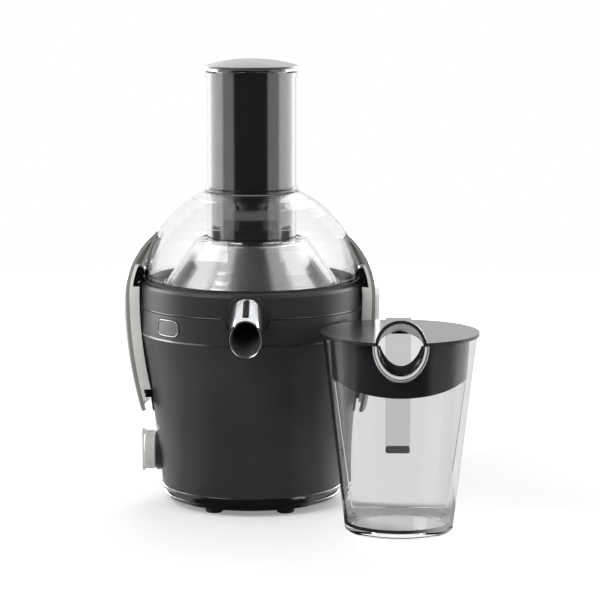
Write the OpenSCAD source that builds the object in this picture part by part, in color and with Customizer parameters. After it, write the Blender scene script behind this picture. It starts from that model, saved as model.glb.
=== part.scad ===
// Centrifugal juicer with a clear juice jug standing beside it.
// Millimetres, +Z up. The origin is the juicer's own axis on the table top,
// and the juice spout points along -Y.

/* [Housing] */
// Radius of the housing's wall at its foot
body_foot_r = 87.6; // [85:0.2:96]
// Radius of the housing at its shoulder, and of the bands above it
body_top_r = 108; // [104:0.5:130]
// Height of the housing wall's lower edge
body_foot_z = 18; // [17:0.5:22]
// Height of the shoulder, where the control band starts
shoulder_z = 168; // [164:1:200]
// Height of the control band with its bright trim
band_h = 24.5; // [22:0.5:30]
// How strongly the wall flares towards its top
body_flare = 1.25; // [1:0.05:1.6]
// Wall thickness of the housing and bowl mouldings
wall = 3; // [2.5:0.1:3.6]
// Height of the bright trim ring under the control band
trim_h = 1.6; // [1.2:0.1:2.4]

/* [Base] */
// Height of the rubber feet
foot_h = 6; // [4:0.5:8]
// Radius of a rubber foot
foot_r = 8.5; // [7:0.5:10]
// Distance of the feet from the axis
foot_pitch_r = 68; // [60:1:70]
// Number of feet
foot_count = 6; // [4:1:6]
// Radius of the base disc
base_r = 85; // [80:0.5:87]
// Thickness of the base disc's rim
base_rim_h = 4.6; // [4:0.2:6]
// Radius of the drum that the cord winds round
winder_r = 66; // [60:1:70]

/* [Pulp bowl] */
// Height of the bowl's rim band, up to its bevel
rim_band_h = 20.2; // [16:0.2:28]
// Height of the bevel at the rim
rim_bevel_h = 4.6; // [3:0.1:6]
// Radial depth of the bevel at the rim
rim_bevel_w = 3.6; // [2:0.1:4]
// Radial room between the housing's band and the sunk part of the bowl
seat_inset = 15; // [13:0.5:18]
// Depth of the bowl below the top of the control band
bowl_sink = 38; // [30:1:42]
// Bore radius of the chimney round the drive
chimney_bore_r = 18; // [17:0.5:22]

/* [Juice collector] */
// Radius of the collector's wall
collector_r = 78.5; // [74:0.5:82]
// Radius of the collector's flange
collector_flange_r = 85; // [83:0.5:88]
// Height of the collector's floor above the control band
collector_floor_up = 5.5; // [4:0.5:8]
// Clearance round the feed tube at the cone's top
cone_clear = 7; // [6:0.5:11]
// Height of the steel cone above its flange
cone_h = 38.8; // [34:0.2:46]

/* [Spout] */
// Outer radius of the bright spout sleeve
spout_r = 15.75; // [14:0.25:17]
// Bore radius of the spout's liner
spout_bore_r = 13.2; // [11:0.2:13.6]
// Slope of the spout below the horizontal
spout_slope = 30; // [24:1:34]
// Distance of the spout's mouth from the axis
spout_reach = 140; // [136:1:156]
// Drop of the mouth's centre below the top of the control band
spout_drop = 13.5; // [10:0.5:16]
// Thickness of the boss round the spout's sleeve
boss_t = 2.05; // [1.5:0.05:3]

/* [Lid] */
// Height of the clear dome above its gasket
dome_h = 83.5; // [76:0.5:96]
// Thickness of the dome's wall
dome_t = 2.8; // [2.2:0.1:3.4]
// Outer radius of the feed tube
tube_r = 43; // [42:0.5:45]
// Thickness of the feed tube's wall
tube_t = 3; // [2.4:0.1:5]
// Length of the feed tube from its lower end to its collar
tube_len = 172; // [150:1:200]
// Height of the tube's lower end above the gasket
tube_end_up = 27; // [26:0.5:34]

/* [Pusher] */
// Radial room between the pusher and the tube
pusher_gap = 0.6; // [0.4:0.1:1]
// How far the pusher's cap reaches out over the tube
cap_over = 3; // [2:0.5:6]
// Height of the cap's straight edge
cap_edge_h = 5; // [4:0.5:7]
// Rise of the cap's shallow crown
cap_crown_h = 6.4; // [4:0.2:8]
// How far the pusher's end stays above the tube's end
pusher_short = 5; // [4:0.5:10]

/* [Sieve] */
// Radius of the sieve's base
sieve_base_r = 41.5; // [40:0.5:43]
// Outer radius of the sieve's rim
sieve_rim_r = 46.6; // [45.5:0.1:47.2]
// Height of the sieve's wall
sieve_h = 34; // [28:0.5:36]
// Slots round the sieve's wall
slot_count = 36; // [24:2:48]
// Rows of slots up the wall
slot_rows = 4; // [3:1:5]
// Width of a slot
slot_w = 1.4; // [1:0.1:2]
// Spiral rows of teeth on the grater disc
tooth_arms = 8; // [6:1:10]
// Teeth in a row
tooth_row = 5; // [4:1:6]
// Height of a tooth
tooth_h = 1.9; // [1.2:0.1:2.6]

/* [Drive] */
// Radius of the motor shaft
shaft_r = 4; // [3.5:0.1:5]
// Radial clearance of the shaft in its bearings
shaft_fit = 0.04; // [0.02:0.01:0.08]
// Outer radius of the ball bearings
bearing_r = 11; // [10:0.5:13]
// Outer radius of the motor's lamination stack
stator_r = 39; // [36:0.5:42]
// Height of the lamination stack
stack_h = 40; // [34:1:44]
// Radius of the armature
armature_r = 22; // [20:0.5:24]
// Radial air gap round the armature
air_gap = 0.6; // [0.4:0.1:1]
// Lobes on the drive head
lobe_count = 6; // [5:1:8]
// Clearance of the sieve's socket round the drive head
lobe_fit = 0.25; // [0.15:0.05:0.4]

/* [Clamps] */
// How far the clamps bend out beyond the bowl's rim
clamp_out = 16; // [14:0.5:24]
// Distance of a clamp's outer line from its pivot
arm_out = 8.85; // [8.5:0.05:12]
// Half of the angle that a clamp spans about the juicer's axis
clamp_half = 15.5; // [12:0.5:17]
// Height of the clamps' pivots
pivot_z = 107; // [100:1:120]
// Distance of the pivots from the housing's wall
pivot_out = 5.5; // [5.2:0.1:7]
// Radius of the pivot pins
pin_r = 2.5; // [2:0.1:3]
// Radial clearance of a clamp on its pin
pin_fit = 0.05; // [0.02:0.01:0.1]
// Thickness of a clamp's outer skin
skin_t = 3.4; // [2.6:0.1:4.2]
// Slope of the faces that pull the lid down, from the horizontal
hook_slope = 55; // [50:1:60]

/* [Controls] */
// Direction of the button, from the spout towards the knob
button_dir = 45; // [40:1:52]
// Width of the button's bezel
button_w = 32; // [26:0.5:34]
// Height of the button's bezel
button_h = 17.6; // [14:0.2:18.4]
// Travel of the button
button_travel = 2.2; // [1.5:0.1:2.4]
// Height of the speed knob's axis
knob_z = 49; // [44:1:60]
// Radius of the speed knob
knob_r = 18.6; // [16:0.2:21]
// Depth of the speed knob
knob_depth = 14; // [10:0.2:17]

/* [Jug] */
// Distance of the jug's axis beyond the bowl's rim, to the side
jug_aside = 33.5; // [32:0.5:60]
// Distance of the jug's axis beyond the bowl's rim, to the front
jug_ahead = 13; // [10:0.5:42]
// Outer radius of the jug at its base
jug_base_r = 50; // [46:0.5:54]
// Outer radius of the jug at its rim
jug_rim_r = 71.5; // [68:0.5:74]
// Height of the jug's rim
jug_h = 182; // [160:1:200]
// Thickness of the jug's wall
jug_wall = 2.6; // [2.2:0.1:3.2]
// Thickness of the jug's floor
jug_floor = 5; // [4:0.5:7]
// Half width of the opening for the spout
port_r = 20.4; // [18:0.2:21]
// Depth of the opening below the rim
port_depth = 28.5; // [26:0.5:34]
// Width of the clear bead round the opening
bead_w = 5.4; // [4:0.2:8]
// Radius of the jug's lid
jug_lid_r = 73.5; // [73:0.5:76]
// Thickness of the jug's lid
jug_lid_t = 3; // [2.4:0.1:4]
// Depth of the lid's skirt inside the jug
skirt_depth = 39; // [34:1:52]
// Half of the arc that the lid's skirt keeps round the front
skirt_half = 112; // [90:1:130]
// Width of the strap handle
handle_w = 25; // [20:1:30]
// Finger room between the handle and the jug's rim
handle_gap = 25; // [22:1:32]
// Height of the handle's free end
handle_end_z = 51; // [40:1:70]

/* [Hidden] */
$fn = 96;

// Gap between pieces that move apart, and the extra length of a cutting tool
apart = 0.3;
over = 1;

// Heights up the machine
band_top_z = shoulder_z + band_h;
bowl_low_z = band_top_z + apart;
rim_z = bowl_low_z + rim_band_h + rim_bevel_h;
gasket_h = 1.6;
lid_z = rim_z + gasket_h;
bowl_floor_z = band_top_z - bowl_sink;
deck_z = bowl_floor_z - 4;
deck_low_z = deck_z - wall;
collector_floor_z = band_top_z + collector_floor_up;
flange_z = rim_z - 2;
cone_top_z = flange_z + cone_h;
sieve_floor_z = collector_floor_z + 13;
sieve_top_z = sieve_floor_z + sieve_h;
tube_low_z = lid_z + tube_end_up;
tube_top_z = tube_low_z + tube_len;
dome_top_z = lid_z + dome_h;

// Radii about the juicer's axis
boss_r = spout_r + boss_t;
tube_bore_r = tube_r - tube_t;
cap_r = tube_r + cap_over;
cone_top_r = tube_r + cone_clear;
clamp_r = body_top_r + clamp_out;
jug_x = body_top_r + jug_aside;
jug_front = body_top_r + jug_ahead;
seat_wall_t = 2.5;
seat_r = body_top_r - seat_inset;
bowl_wall_r = seat_r - 0.6;
rim_top_r = body_top_r - rim_bevel_w;
chimney_r = chimney_bore_r + 2.6;

function body_r(z) =
    body_foot_r + (body_top_r - body_foot_r)
    * pow(max(0, z - body_foot_z) / (shoulder_z - body_foot_z), body_flare);

// Housing wall, from its foot up to the trim ring
body_steps = 8;
wall_top_z = shoulder_z - trim_h / 2;
function wall_line(inset) = [
    for (i = [0 : body_steps])
        let (z = body_foot_z + (wall_top_z - body_foot_z) * i / body_steps)
        [body_r(z) - inset, z]
];
function reversed(list) = [for (i = [len(list) - 1 : -1 : 0]) list[i]];

// Points along an arc in a profile, from one angle to another
function arc(centre, r, from, to, steps) = [
    for (i = [0 : steps])
        let (a = from + (to - from) * i / steps)
        centre + r * [cos(a), sin(a)]
];

// A line of points moved sideways, to the left of its direction for +d
function unit(v) = v / norm(v);
function heading(line, i) =
    unit(line[min(i + 1, len(line) - 1)] - line[max(i - 1, 0)]);
function shifted(line, d) = [
    for (i = [0 : len(line) - 1])
        let (h = heading(line, i))
        line[i] + d * [-h[1], h[0]]
];

module turned(points) {
    rotate_extrude() polygon(points);
}

// A turned piece that spans an angle to both sides of +X
module turned_arc(points, half) {
    rotate_extrude(angle = 2 * half, start = -half) polygon(points);
}

module ring(outer, inner, z, h) {
    translate([0, 0, z])
        rotate_extrude()
            translate([inner, 0])
                square([outer - inner, h]);
}

module disc(r, z, h) {
    translate([0, 0, z]) cylinder(r = r, h = h);
}

// A flat outline in Y and Z, pushed out along X from x0 to x1
module along_x(x0, x1) {
    translate([x0, 0, 0])
        rotate([90, 0, 90])
            linear_extrude(height = x1 - x0) children();
}

// An outline in X and Z, centred across Y
module across_y(width) {
    translate([0, width / 2, 0])
        rotate([90, 0, 0])
            linear_extrude(height = width) children();
}

module racetrack(w, h) {
    square([w - h, h], center = true);
    for (side = [-1, 1])
        translate([side * (w - h) / 2, 0]) circle(d = h);
}

module around(count, start = 0) {
    for (i = [0 : count - 1])
        rotate([0, 0, start + i * 360 / count]) children();
}

// ---------------------------------------------------------------- housing

// The spout's axis: s is the distance from the mouth back along the axis
mouth_z = band_top_z - spout_drop;
module along_spout(s0, s1, r) {
    translate([0, -spout_reach, mouth_z])
        rotate([spout_slope - 90, 0, 0])
            translate([0, 0, s0])
                cylinder(r = r, h = s1 - s0);
}

// Room that the bowl's spout collar needs, open upwards so the bowl lifts out
notch_r = boss_r + 0.8;
notch_mouth = notch_r + 1.8;
module spout_notch(grow) {
    far = body_top_r + 12;
    depth = far - seat_r + 8;
    along_spout(-12, 80, notch_r + grow);
    translate([0, -far, 0])
        rotate([90, 0, 180])
            linear_extrude(height = depth)
                polygon([
                    [-notch_mouth - grow, band_top_z + over],
                    [notch_mouth + grow, band_top_z + over],
                    [notch_mouth + grow, band_top_z - 1],
                    [notch_r - 1 + grow, band_top_z - 9],
                    [-notch_r + 1 - grow, band_top_z - 9],
                    [-notch_mouth - grow, band_top_z - 1]
                ]);
}

knob_bore_r = 3.7;
module motor_housing() {
    color("#3a393b")
    difference() {
        turned(concat(wall_line(0), reversed(wall_line(wall))));
        mirror([1, 0, 0])
            translate([0, 0, knob_z])
                along_x(body_foot_r - 10, body_top_r)
                    circle(r = knob_bore_r);
    }
}

module trim_ring() {
    color("silver")
    ring(body_top_r + 0.4, body_top_r - wall, shoulder_z - trim_h / 2, trim_h);
}

button_z = shoulder_z + trim_h / 2 + (band_h - trim_h / 2) / 2 - 0.4;
module at_button() {
    rotate([0, 0, -90 - button_dir])
        translate([0, 0, button_z])
            children();
}

lip_h = 2.8;
module control_band() {
    low_z = shoulder_z + trim_h / 2;
    color("#3a393b")
    difference() {
        turned([
            [body_top_r - wall, low_z],
            [body_top_r, low_z],
            [body_top_r, band_top_z - 0.6],
            [body_top_r - 0.6, band_top_z],
            [seat_r + seat_wall_t + 0.05, band_top_z],
            [seat_r + seat_wall_t + 0.05, band_top_z - lip_h],
            [body_top_r - wall, band_top_z - lip_h]
        ]);
        spout_notch(0);
        at_button()
            along_x(body_top_r - wall - over, body_top_r + over)
                racetrack(button_w, button_h);
    }
}

seal_seat_r = 15;
mount_pitch_r = 52;
module bowl_seat() {
    color("#232325")
    difference() {
        union() {
            ring(body_r(deck_low_z) - wall - 0.2, seal_seat_r, deck_low_z, wall);
            ring(seat_r + seat_wall_t, seat_r, deck_z, band_top_z - deck_z);
            around(12, 15)
                translate([seat_r + seat_wall_t - 0.5, -1, deck_z])
                    cube([body_r(deck_z) - wall - seat_r - seat_wall_t - 0.5, 2, 12]);
        }
        spout_notch(0);
        at_button()
            translate([seat_r + seat_wall_t, -8, -8])
                cube([6, 16, 16]);
    }
}

cover_t = 3;
module bottom_cover() {
    inner_r = body_foot_r - wall - 0.2;
    color("#232325")
    difference() {
        union() {
            disc(inner_r, body_foot_z, cover_t);
            around(4, 45)
                translate([inner_r - 12, 0, body_foot_z])
                    cylinder(r = 5, h = 10);
        }
        around(24)
            translate([30, -1.4, body_foot_z - over])
                cube([22, 2.8, cover_t + 2 * over]);
        around(4, 45)
            translate([inner_r - 12, 0, body_foot_z - over])
                cylinder(r = 2, h = 10);
        translate([0, winder_r - 12, body_foot_z - over])
            cylinder(r = gland_r, h = cover_t + 2 * over);
    }
}

// ------------------------------------------------------------------- base

base_top_z = foot_h + base_rim_h;
module cord_winder() {
    color("#1d1d1f")
    difference() {
        ring(winder_r, winder_r - 3, base_top_z, body_foot_z - base_top_z);
        translate([0, winder_r - 6, (base_top_z + body_foot_z) / 2])
            rotate([-90, 0, 0])
                cylinder(r = gland_r, h = 10);
    }
}

module base_plate() {
    vent_count = 20;
    color("#1d1d1f")
    difference() {
        turned([
            [0, foot_h + 1.6],
            [winder_r - 8, foot_h + 1.6],
            [winder_r - 8, foot_h],
            [base_r - 3, foot_h],
            [base_r - 0.8, foot_h + 1.2],
            [base_r, foot_h + 2.6],
            [base_r, base_top_z - 0.8],
            [base_r - 0.8, base_top_z],
            [winder_r - 3, base_top_z],
            [winder_r - 5, foot_h + 3.6],
            [0, foot_h + 3.6]
        ]);
        around(vent_count)
            translate([26, -1.5, foot_h])
                cube([24, 3, 6]);
        for (i = [0 : foot_count - 1])
            at_foot(i)
                translate([0, 0, foot_h - over])
                    cylinder(r = foot_r - 2, h = over + 1.6);
    }
}

module at_foot(i) {
    rotate([0, 0, -60 + i * 360 / foot_count])
        translate([foot_pitch_r, 0, 0])
            children();
}

module rubber_feet() {
    color("#111111")
    for (i = [0 : foot_count - 1])
        at_foot(i) {
            rotate_extrude()
                polygon([
                    [0, 0],
                    [foot_r - 1.6, 0],
                    [foot_r - 0.5, 0.6],
                    [foot_r, 1.8],
                    [foot_r, foot_h],
                    [0, foot_h]
                ]);
            cylinder(r = foot_r - 2, h = foot_h + 1.6);
        }
}

// Bright lower lip, which dips at the front into an apron over the groove
lip_edge_h = 2.2;
apron_low_z = foot_h + base_rim_h + apart;
module base_lip() {
    reach = 46;
    taper = 24;
    lip_z = body_foot_z - lip_edge_h;
    taper_len = taper * PI / 180 * body_foot_r;
    taper_slope = atan((lip_z - apron_low_z) / taper_len);
    color("silver")
    union() {
        ring(body_foot_r + 0.5, body_foot_r - 4.4, lip_z, lip_edge_h);
        difference() {
            rotate([0, 0, -90])
                turned_arc([
                    [body_foot_r - 3.2, apron_low_z],
                    [body_foot_r - 1, apron_low_z],
                    [body_foot_r + 0.5, lip_z + 0.2],
                    [body_foot_r - 3.2, lip_z + 0.2]
                ], reach + taper);
            for (side = [-1, 1])
                rotate([0, 0, -90 + side * (reach + taper)])
                    translate([body_foot_r, 0, lip_z])
                        rotate([side * taper_slope, 0, 0])
                            translate([-20, -50, -12])
                                cube([40, 100, 12]);
        }
    }
}

gland_r = 4.5;
gland_bore_r = 2.9;
module cord_inlet() {
    color("#161616")
    translate([0, 0, (base_top_z + body_foot_z) / 2])
        rotate([-90, 0, 0])
            difference() {
                union() {
                    translate([0, 0, winder_r - 6.4])
                        cylinder(r = gland_r - 1, h = 12);
                    translate([0, 0, winder_r - 0.2])
                        cylinder(r1 = gland_r - 1, r2 = gland_r - 1.6, h = 9);
                }
                translate([0, 0, winder_r - 8])
                    cylinder(r = gland_bore_r - 1, h = 20);
            }
}

// ------------------------------------------------------------------ motor

stack_mid_z = (deck_low_z + body_foot_z) / 2 + 0.5;
stack_low_z = stack_mid_z - stack_h / 2;
stack_top_z = stack_mid_z + stack_h / 2;
upper_plate_z = deck_low_z - 14;
lower_plate_z = stack_low_z - 32;
plate_t = 4;
bolt_pitch_r = stator_r + 4.5;
bolt_r = 2;
bearing_h = 7;
coil_w = 24;
coil_t = 8;
coil_y = armature_r + 2 + coil_t / 2;

module motor_stator() {
    color("#6d7278")
    difference() {
        union() {
            disc(stator_r, stack_low_z, stack_h);
            around(4)
                translate([bolt_pitch_r, 0, stack_low_z])
                    cylinder(r = 5, h = stack_h);
        }
        disc(armature_r + air_gap, stack_low_z - over, stack_h + 2 * over);
        for (side = [-1, 1])
            translate([-coil_w / 2 - 0.5, side * coil_y - coil_t / 2 - 0.2, stack_low_z - over])
                cube([coil_w + 1, coil_t + 0.4, stack_h + 2 * over]);
        around(4)
            translate([bolt_pitch_r, 0, stack_low_z - over])
                cylinder(r = bolt_r + 0.1, h = stack_h + 2 * over);
    }
}

module field_coils() {
    coil_h = stack_h + 14;
    color("#a5542a")
    for (side = [-1, 1])
        translate([-coil_w / 2, side * coil_y - coil_t / 2, stack_mid_z - coil_h / 2])
            cube([coil_w, coil_t, coil_h]);
}

module bridge(z, bearing_z, arm_r) {
    difference() {
        union() {
            intersection() {
                disc(arm_r, z, plate_t);
                union() {
                    for (turn = [0, 90])
                        rotate([0, 0, turn])
                            translate([-arm_r, -8, z])
                                cube([2 * arm_r, 16, plate_t]);
                    disc(26, z, plate_t);
                }
            }
            disc(bearing_r + 2.5, bearing_z, bearing_h);
        }
        disc(bearing_r, bearing_z - over, bearing_h + 20);
        disc(shaft_r + 3, z - 20, 40);
        around(4)
            translate([bolt_pitch_r, 0, z - over])
                cylinder(r = bolt_r + 0.1, h = plate_t + 2 * over);
    }
}

module upper_bracket() {
    color("#8b8f94")
    union() {
        bridge(upper_plate_z, upper_plate_z, bolt_pitch_r + 5);
        rotate([0, 0, 45])
            difference() {
                for (turn = [0, 90])
                    rotate([0, 0, turn])
                        translate([-mount_pitch_r - 7, -7, upper_plate_z])
                            cube([2 * mount_pitch_r + 14, 14, plate_t]);
                disc(20, upper_plate_z - over, plate_t + 2 * over);
            }
    }
}

module lower_bracket() {
    color("#8b8f94")
    bridge(lower_plate_z, lower_plate_z, bolt_pitch_r + 5);
}

module bearings() {
    color("#c4c8cc")
    for (z = [lower_plate_z, upper_plate_z])
        difference() {
            ring(bearing_r, shaft_r + shaft_fit, z, bearing_h);
            ring(bearing_r - 2, shaft_r + 2, z - over, over + 0.6);
            ring(bearing_r - 2, shaft_r + 2, z + bearing_h - 0.6, over);
        }
}

module rubber_mounts() {
    z = upper_plate_z + plate_t;
    color("#1b1b1b")
    around(4, 45)
        translate([mount_pitch_r, 0, 0])
            rotate_extrude()
                polygon([
                    [0, z], [7, z], [7, z + 2.6], [5.4, z + 4],
                    [5.4, z + 6], [7, z + 7.4], [7, deck_low_z], [0, deck_low_z]
                ]);
}

module tie_bolts() {
    color("#b9bcc0")
    around(4)
        translate([bolt_pitch_r, 0, lower_plate_z - 3]) {
            cylinder(r = bolt_r, h = upper_plate_z - lower_plate_z + plate_t + 6);
            cylinder(r = 3.6, h = 3, $fn = 6);
            translate([0, 0, upper_plate_z - lower_plate_z + plate_t + 3])
                cylinder(r = 3.6, h = 3, $fn = 6);
        }
}

comm_r = 12;
comm_h = 13;
comm_z = stack_low_z - 22.5;
module brush_gear() {
    z = comm_z + comm_h / 2;
    color("#2b2320")
    for (turn = [45, 225])
        rotate([0, 0, turn]) {
            translate([comm_r + 0.2, -3, z - 3]) cube([14, 6, 6]);
            translate([comm_r + 4, -5, z - 5]) cube([16, 10, 10]);
            translate([comm_r + 8, -4, lower_plate_z + plate_t])
                cube([6, 8, z - 5 - lower_plate_z - plate_t]);
        }
}

// ------------------------------------------------------------ rotating parts

shaft_low_z = lower_plate_z - 2;
shaft_top_z = deck_z + 24;
head_low_z = collector_floor_z - 4;
head_top_z = sieve_floor_z - 4;
column_r = 8.6;
module motor_shaft() {
    color("#c9ccd0")
    union() {
        disc(shaft_r, shaft_low_z, shaft_top_z - shaft_low_z);
        disc(shaft_r + 1.4, lower_plate_z + bearing_h + 0.2, 1.2);
        disc(shaft_r + 1.4, upper_plate_z - 2.2, 2);
    }
}

core_slots = 12;
module armature() {
    color("#9a6a3c")
    difference() {
        union() {
            disc(armature_r, stack_low_z + 1, stack_h - 2);
            disc(armature_r - 4, stack_low_z - 8, stack_h + 16);
        }
        disc(shaft_r, stack_low_z - 10, stack_h + 20);
        around(core_slots)
            translate([armature_r - 3, -1, stack_low_z - over])
                cube([6, 2, stack_h + 2 * over]);
    }
}

module commutator() {
    color("#b87333")
    difference() {
        disc(comm_r, comm_z, comm_h);
        disc(shaft_r, comm_z - over, comm_h + 2 * over);
        around(core_slots * 2)
            translate([comm_r - 0.8, -0.25, comm_z - over])
                cube([2, 0.5, comm_h - 2 + over]);
    }
}

fan_r = 33;
fan_blades = 12;
module cooling_fan() {
    z = stack_top_z + 11;
    h = min(10, upper_plate_z - 3 - z);
    color("#e8e4da")
    difference() {
        union() {
            disc(9, z, h);
            disc(fan_r, z, 1.6);
            around(fan_blades)
                translate([8, 0, z])
                    rotate([0, 0, 12])
                        translate([0, -0.8, 0])
                            cube([fan_r - 9, 1.6, h]);
        }
        disc(shaft_r, z - over, h + 2 * over);
    }
}

module lobes(grow) {
    circle(r = column_r + grow);
    for (i = [0 : lobe_count - 1])
        rotate(i * 360 / lobe_count)
            translate([column_r + 0.4, 0])
                circle(r = 2 + grow, $fn = 48);
}

slinger_r = 15;
module drive_coupling() {
    slinger_z = deck_z + 3.2;
    color("#2a2a2c")
    difference() {
        union() {
            turned([
                [0, slinger_z], [slinger_r, slinger_z],
                [slinger_r, slinger_z + 1.6], [column_r, slinger_z + 6],
                [column_r, head_low_z], [0, head_low_z]
            ]);
            translate([0, 0, head_low_z])
                linear_extrude(height = head_top_z - head_low_z)
                    lobes(0);
        }
        disc(shaft_r, slinger_z - over, shaft_top_z - slinger_z + over);
        turned([
            [column_r - 1.2, head_top_z + 0.1],
            [column_r + 4, head_top_z - 5],
            [column_r + 6, head_top_z + 0.1]
        ]);
    }
}

module shaft_seal() {
    color("#141414")
    turned([
        [shaft_r + apart, deck_z + 1.4],
        [shaft_r + apart, deck_z + 2.6],
        [seal_seat_r - 3, deck_z + 1.6],
        [seal_seat_r + 2, deck_z + 1.6],
        [seal_seat_r + 2, deck_z],
        [seal_seat_r, deck_z],
        [seal_seat_r, deck_low_z],
        [seal_seat_r - 3, deck_low_z],
        [seal_seat_r - 3, deck_z]
    ]);
}

// ------------------------------------------------------------------ sieve

hub_r = 14.6;
rim_ring_h = 3;
mesh_t = 1;
mesh_low_r = sieve_base_r;
mesh_top_r = sieve_rim_r - 1;
function mesh_r(z) =
    mesh_low_r + (mesh_top_r - mesh_low_r) * (z - sieve_floor_z) / sieve_h;

module sieve_base() {
    hub_low_z = head_low_z + 1;
    color("#202022")
    difference() {
        union() {
            disc(hub_r, hub_low_z, sieve_floor_z - hub_low_z);
            disc(sieve_base_r, sieve_floor_z - 2.4, 2.4);
            around(8)
                translate([hub_r - 1, -1, sieve_floor_z - 4.6])
                    cube([sieve_base_r - hub_r - 4, 2, 3]);
        }
        translate([0, 0, hub_low_z - over])
            linear_extrude(height = head_top_z + apart - hub_low_z + over)
                lobes(lobe_fit);
    }
}

module sieve_mesh() {
    pitch_z = (sieve_h - 4) / slot_rows;
    slot_h = pitch_z - 2.2;
    color("#c8ccd0")
    difference() {
        union() {
            turned([
                [mesh_r(sieve_floor_z) - mesh_t, sieve_floor_z],
                [mesh_r(sieve_floor_z), sieve_floor_z],
                [mesh_r(sieve_top_z), sieve_top_z],
                [mesh_r(sieve_top_z) - mesh_t, sieve_top_z]
            ]);
            ring(sieve_rim_r, mesh_top_r - mesh_t, sieve_top_z - rim_ring_h, rim_ring_h);
        }
        for (row = [0 : slot_rows - 1], i = [0 : slot_count / 2 - 1])
            rotate([0, 0, (i + (row % 2) / 2) * 360 / slot_count])
                translate([-60, -slot_w / 2, sieve_floor_z + 2.2 + row * pitch_z])
                    cube([120, slot_w, slot_h]);
    }
}

disc_t = 1.2;
module grater_disc() {
    inner = 11;
    pitch = (sieve_base_r - mesh_t - 5 - inner) / tooth_row;
    color("#d2d5d8")
    union() {
        disc(sieve_base_r - mesh_t - 0.3, sieve_floor_z, disc_t);
        disc(6, sieve_floor_z, disc_t + 3);
        for (arm = [0 : tooth_arms - 1], i = [0 : tooth_row - 1])
            rotate([0, 0, arm * 360 / tooth_arms + i * 7])
                translate([inner + i * pitch, 0, sieve_floor_z + disc_t])
                    tooth();
    }
}

// One raised tooth: a ramp with an upright cutting edge
module tooth() {
    translate([1.6, 0, 0])
        rotate([90, 0, -90])
            linear_extrude(height = 1.6)
                polygon([[0, -0.4], [3.4, -0.4], [0, tooth_h]]);
}

// ------------------------------------------------------------------- bowl

boss_in = 57;
module low_roof(z) {
    translate([-60, -spout_reach - 60, z - 200])
        cube([120, spout_reach + 60, 200]);
}

module spout_core(r, roof_z) {
    s_out = 10;
    intersection() {
        along_spout(s_out, boss_in / cos(spout_slope) + 20, r);
        low_roof(roof_z);
        translate([-40, -body_top_r - 2.6, 0])
            cube([80, body_top_r + 2.6 - collector_flange_r - 0.2, 400]);
    }
}

roof_z = rim_z - 4;
bowl_t = wall - 0.4;
shelf_top_z = bowl_low_z + bowl_t;
module spout_bores() {
    spout_core(spout_bore_r, roof_z - 2);
    along_spout(0, (spout_reach - body_top_r + 4) / cos(spout_slope), spout_r);
}

module pulp_bowl() {
    t = bowl_t;
    color("#353436")
    difference() {
        union() {
            turned([
                [chimney_bore_r, bowl_floor_z],
                [bowl_wall_r - 3, bowl_floor_z],
                [bowl_wall_r, bowl_floor_z + 3],
                [bowl_wall_r, shelf_top_z],
                [bowl_wall_r - t, shelf_top_z],
                [bowl_wall_r - t, bowl_floor_z + 4],
                [bowl_wall_r - t - 2, bowl_floor_z + t],
                [chimney_r, bowl_floor_z + t],
                [chimney_r, collector_floor_z - 3],
                [chimney_r + 3, collector_floor_z],
                [chimney_r, collector_floor_z],
                [chimney_r, collector_floor_z + 6],
                [chimney_bore_r, collector_floor_z + 6]
            ]);
            intersection() {
                spout_core(boss_r, roof_z);
                disc(bowl_wall_r - t / 2, bowl_floor_z, shelf_top_z - bowl_floor_z);
            }
        }
        spout_bores();
    }
}

module bowl_rim() {
    t = bowl_t;
    color("#353436")
    difference() {
        union() {
            turned([
                [bowl_wall_r, bowl_low_z],
                [body_top_r - 0.5, bowl_low_z],
                [body_top_r, bowl_low_z + 0.5],
                [body_top_r, rim_z - rim_bevel_h],
                [body_top_r - rim_bevel_w * 0.3, rim_z - rim_bevel_h * 0.4],
                [rim_top_r, rim_z],
                [rim_top_r - 4, rim_z],
                [rim_top_r - 4, rim_z - 3],
                [body_top_r - t, rim_z - rim_bevel_h - 4],
                [body_top_r - t, shelf_top_z],
                [bowl_wall_r, shelf_top_z]
            ]);
            difference() {
                spout_core(boss_r, roof_z);
                disc(bowl_wall_r, bowl_floor_z, shelf_top_z - bowl_floor_z);
            }
            intersection() {
                ring(body_top_r, body_top_r - t, band_top_z - 9, 12);
                translate([0, -seat_r, 0])
                    rotate([90, 0, 0])
                        linear_extrude(height = 40)
                            polygon([
                                [-notch_mouth + 0.6, band_top_z + over],
                                [notch_mouth - 0.6, band_top_z + over],
                                [notch_mouth - 0.6, band_top_z - 1.2],
                                [notch_r - 1.8, band_top_z - 8.6],
                                [-notch_r + 1.8, band_top_z - 8.6],
                                [-notch_mouth + 0.6, band_top_z - 1.2]
                            ]);
            }
        }
        spout_bores();
    }
}

module juice_collector() {
    t = 2.2;
    port = spout_bore_r;
    duct_top = roof_z - 2;
    inner_x = collector_r - 5;
    color("#262628")
    difference() {
        union() {
            turned([
                [chimney_r + 0.3, collector_floor_z],
                [collector_r - 4, collector_floor_z],
                [collector_r, collector_floor_z + 5],
                [collector_r, flange_z - t],
                [collector_flange_r, flange_z - t],
                [collector_flange_r, flange_z],
                [collector_r - t, flange_z],
                [collector_r - t, collector_floor_z + 6],
                [collector_r - t - 3.4, collector_floor_z + t],
                [chimney_r + 2.5, collector_floor_z + t],
                [chimney_r + 2.5, collector_floor_z + 7],
                [chimney_r + 0.3, collector_floor_z + 7]
            ]);
            translate([-port - t, -collector_flange_r + 0.2, collector_floor_z - t])
                cube([2 * (port + t), collector_flange_r - inner_x,
                    duct_top - collector_floor_z + 1.4 * t]);
        }
        translate([-port, -collector_flange_r - over, collector_floor_z])
            cube([2 * port, collector_flange_r - inner_x + 2 * over, duct_top - collector_floor_z - t + 1]);
    }
}

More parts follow.
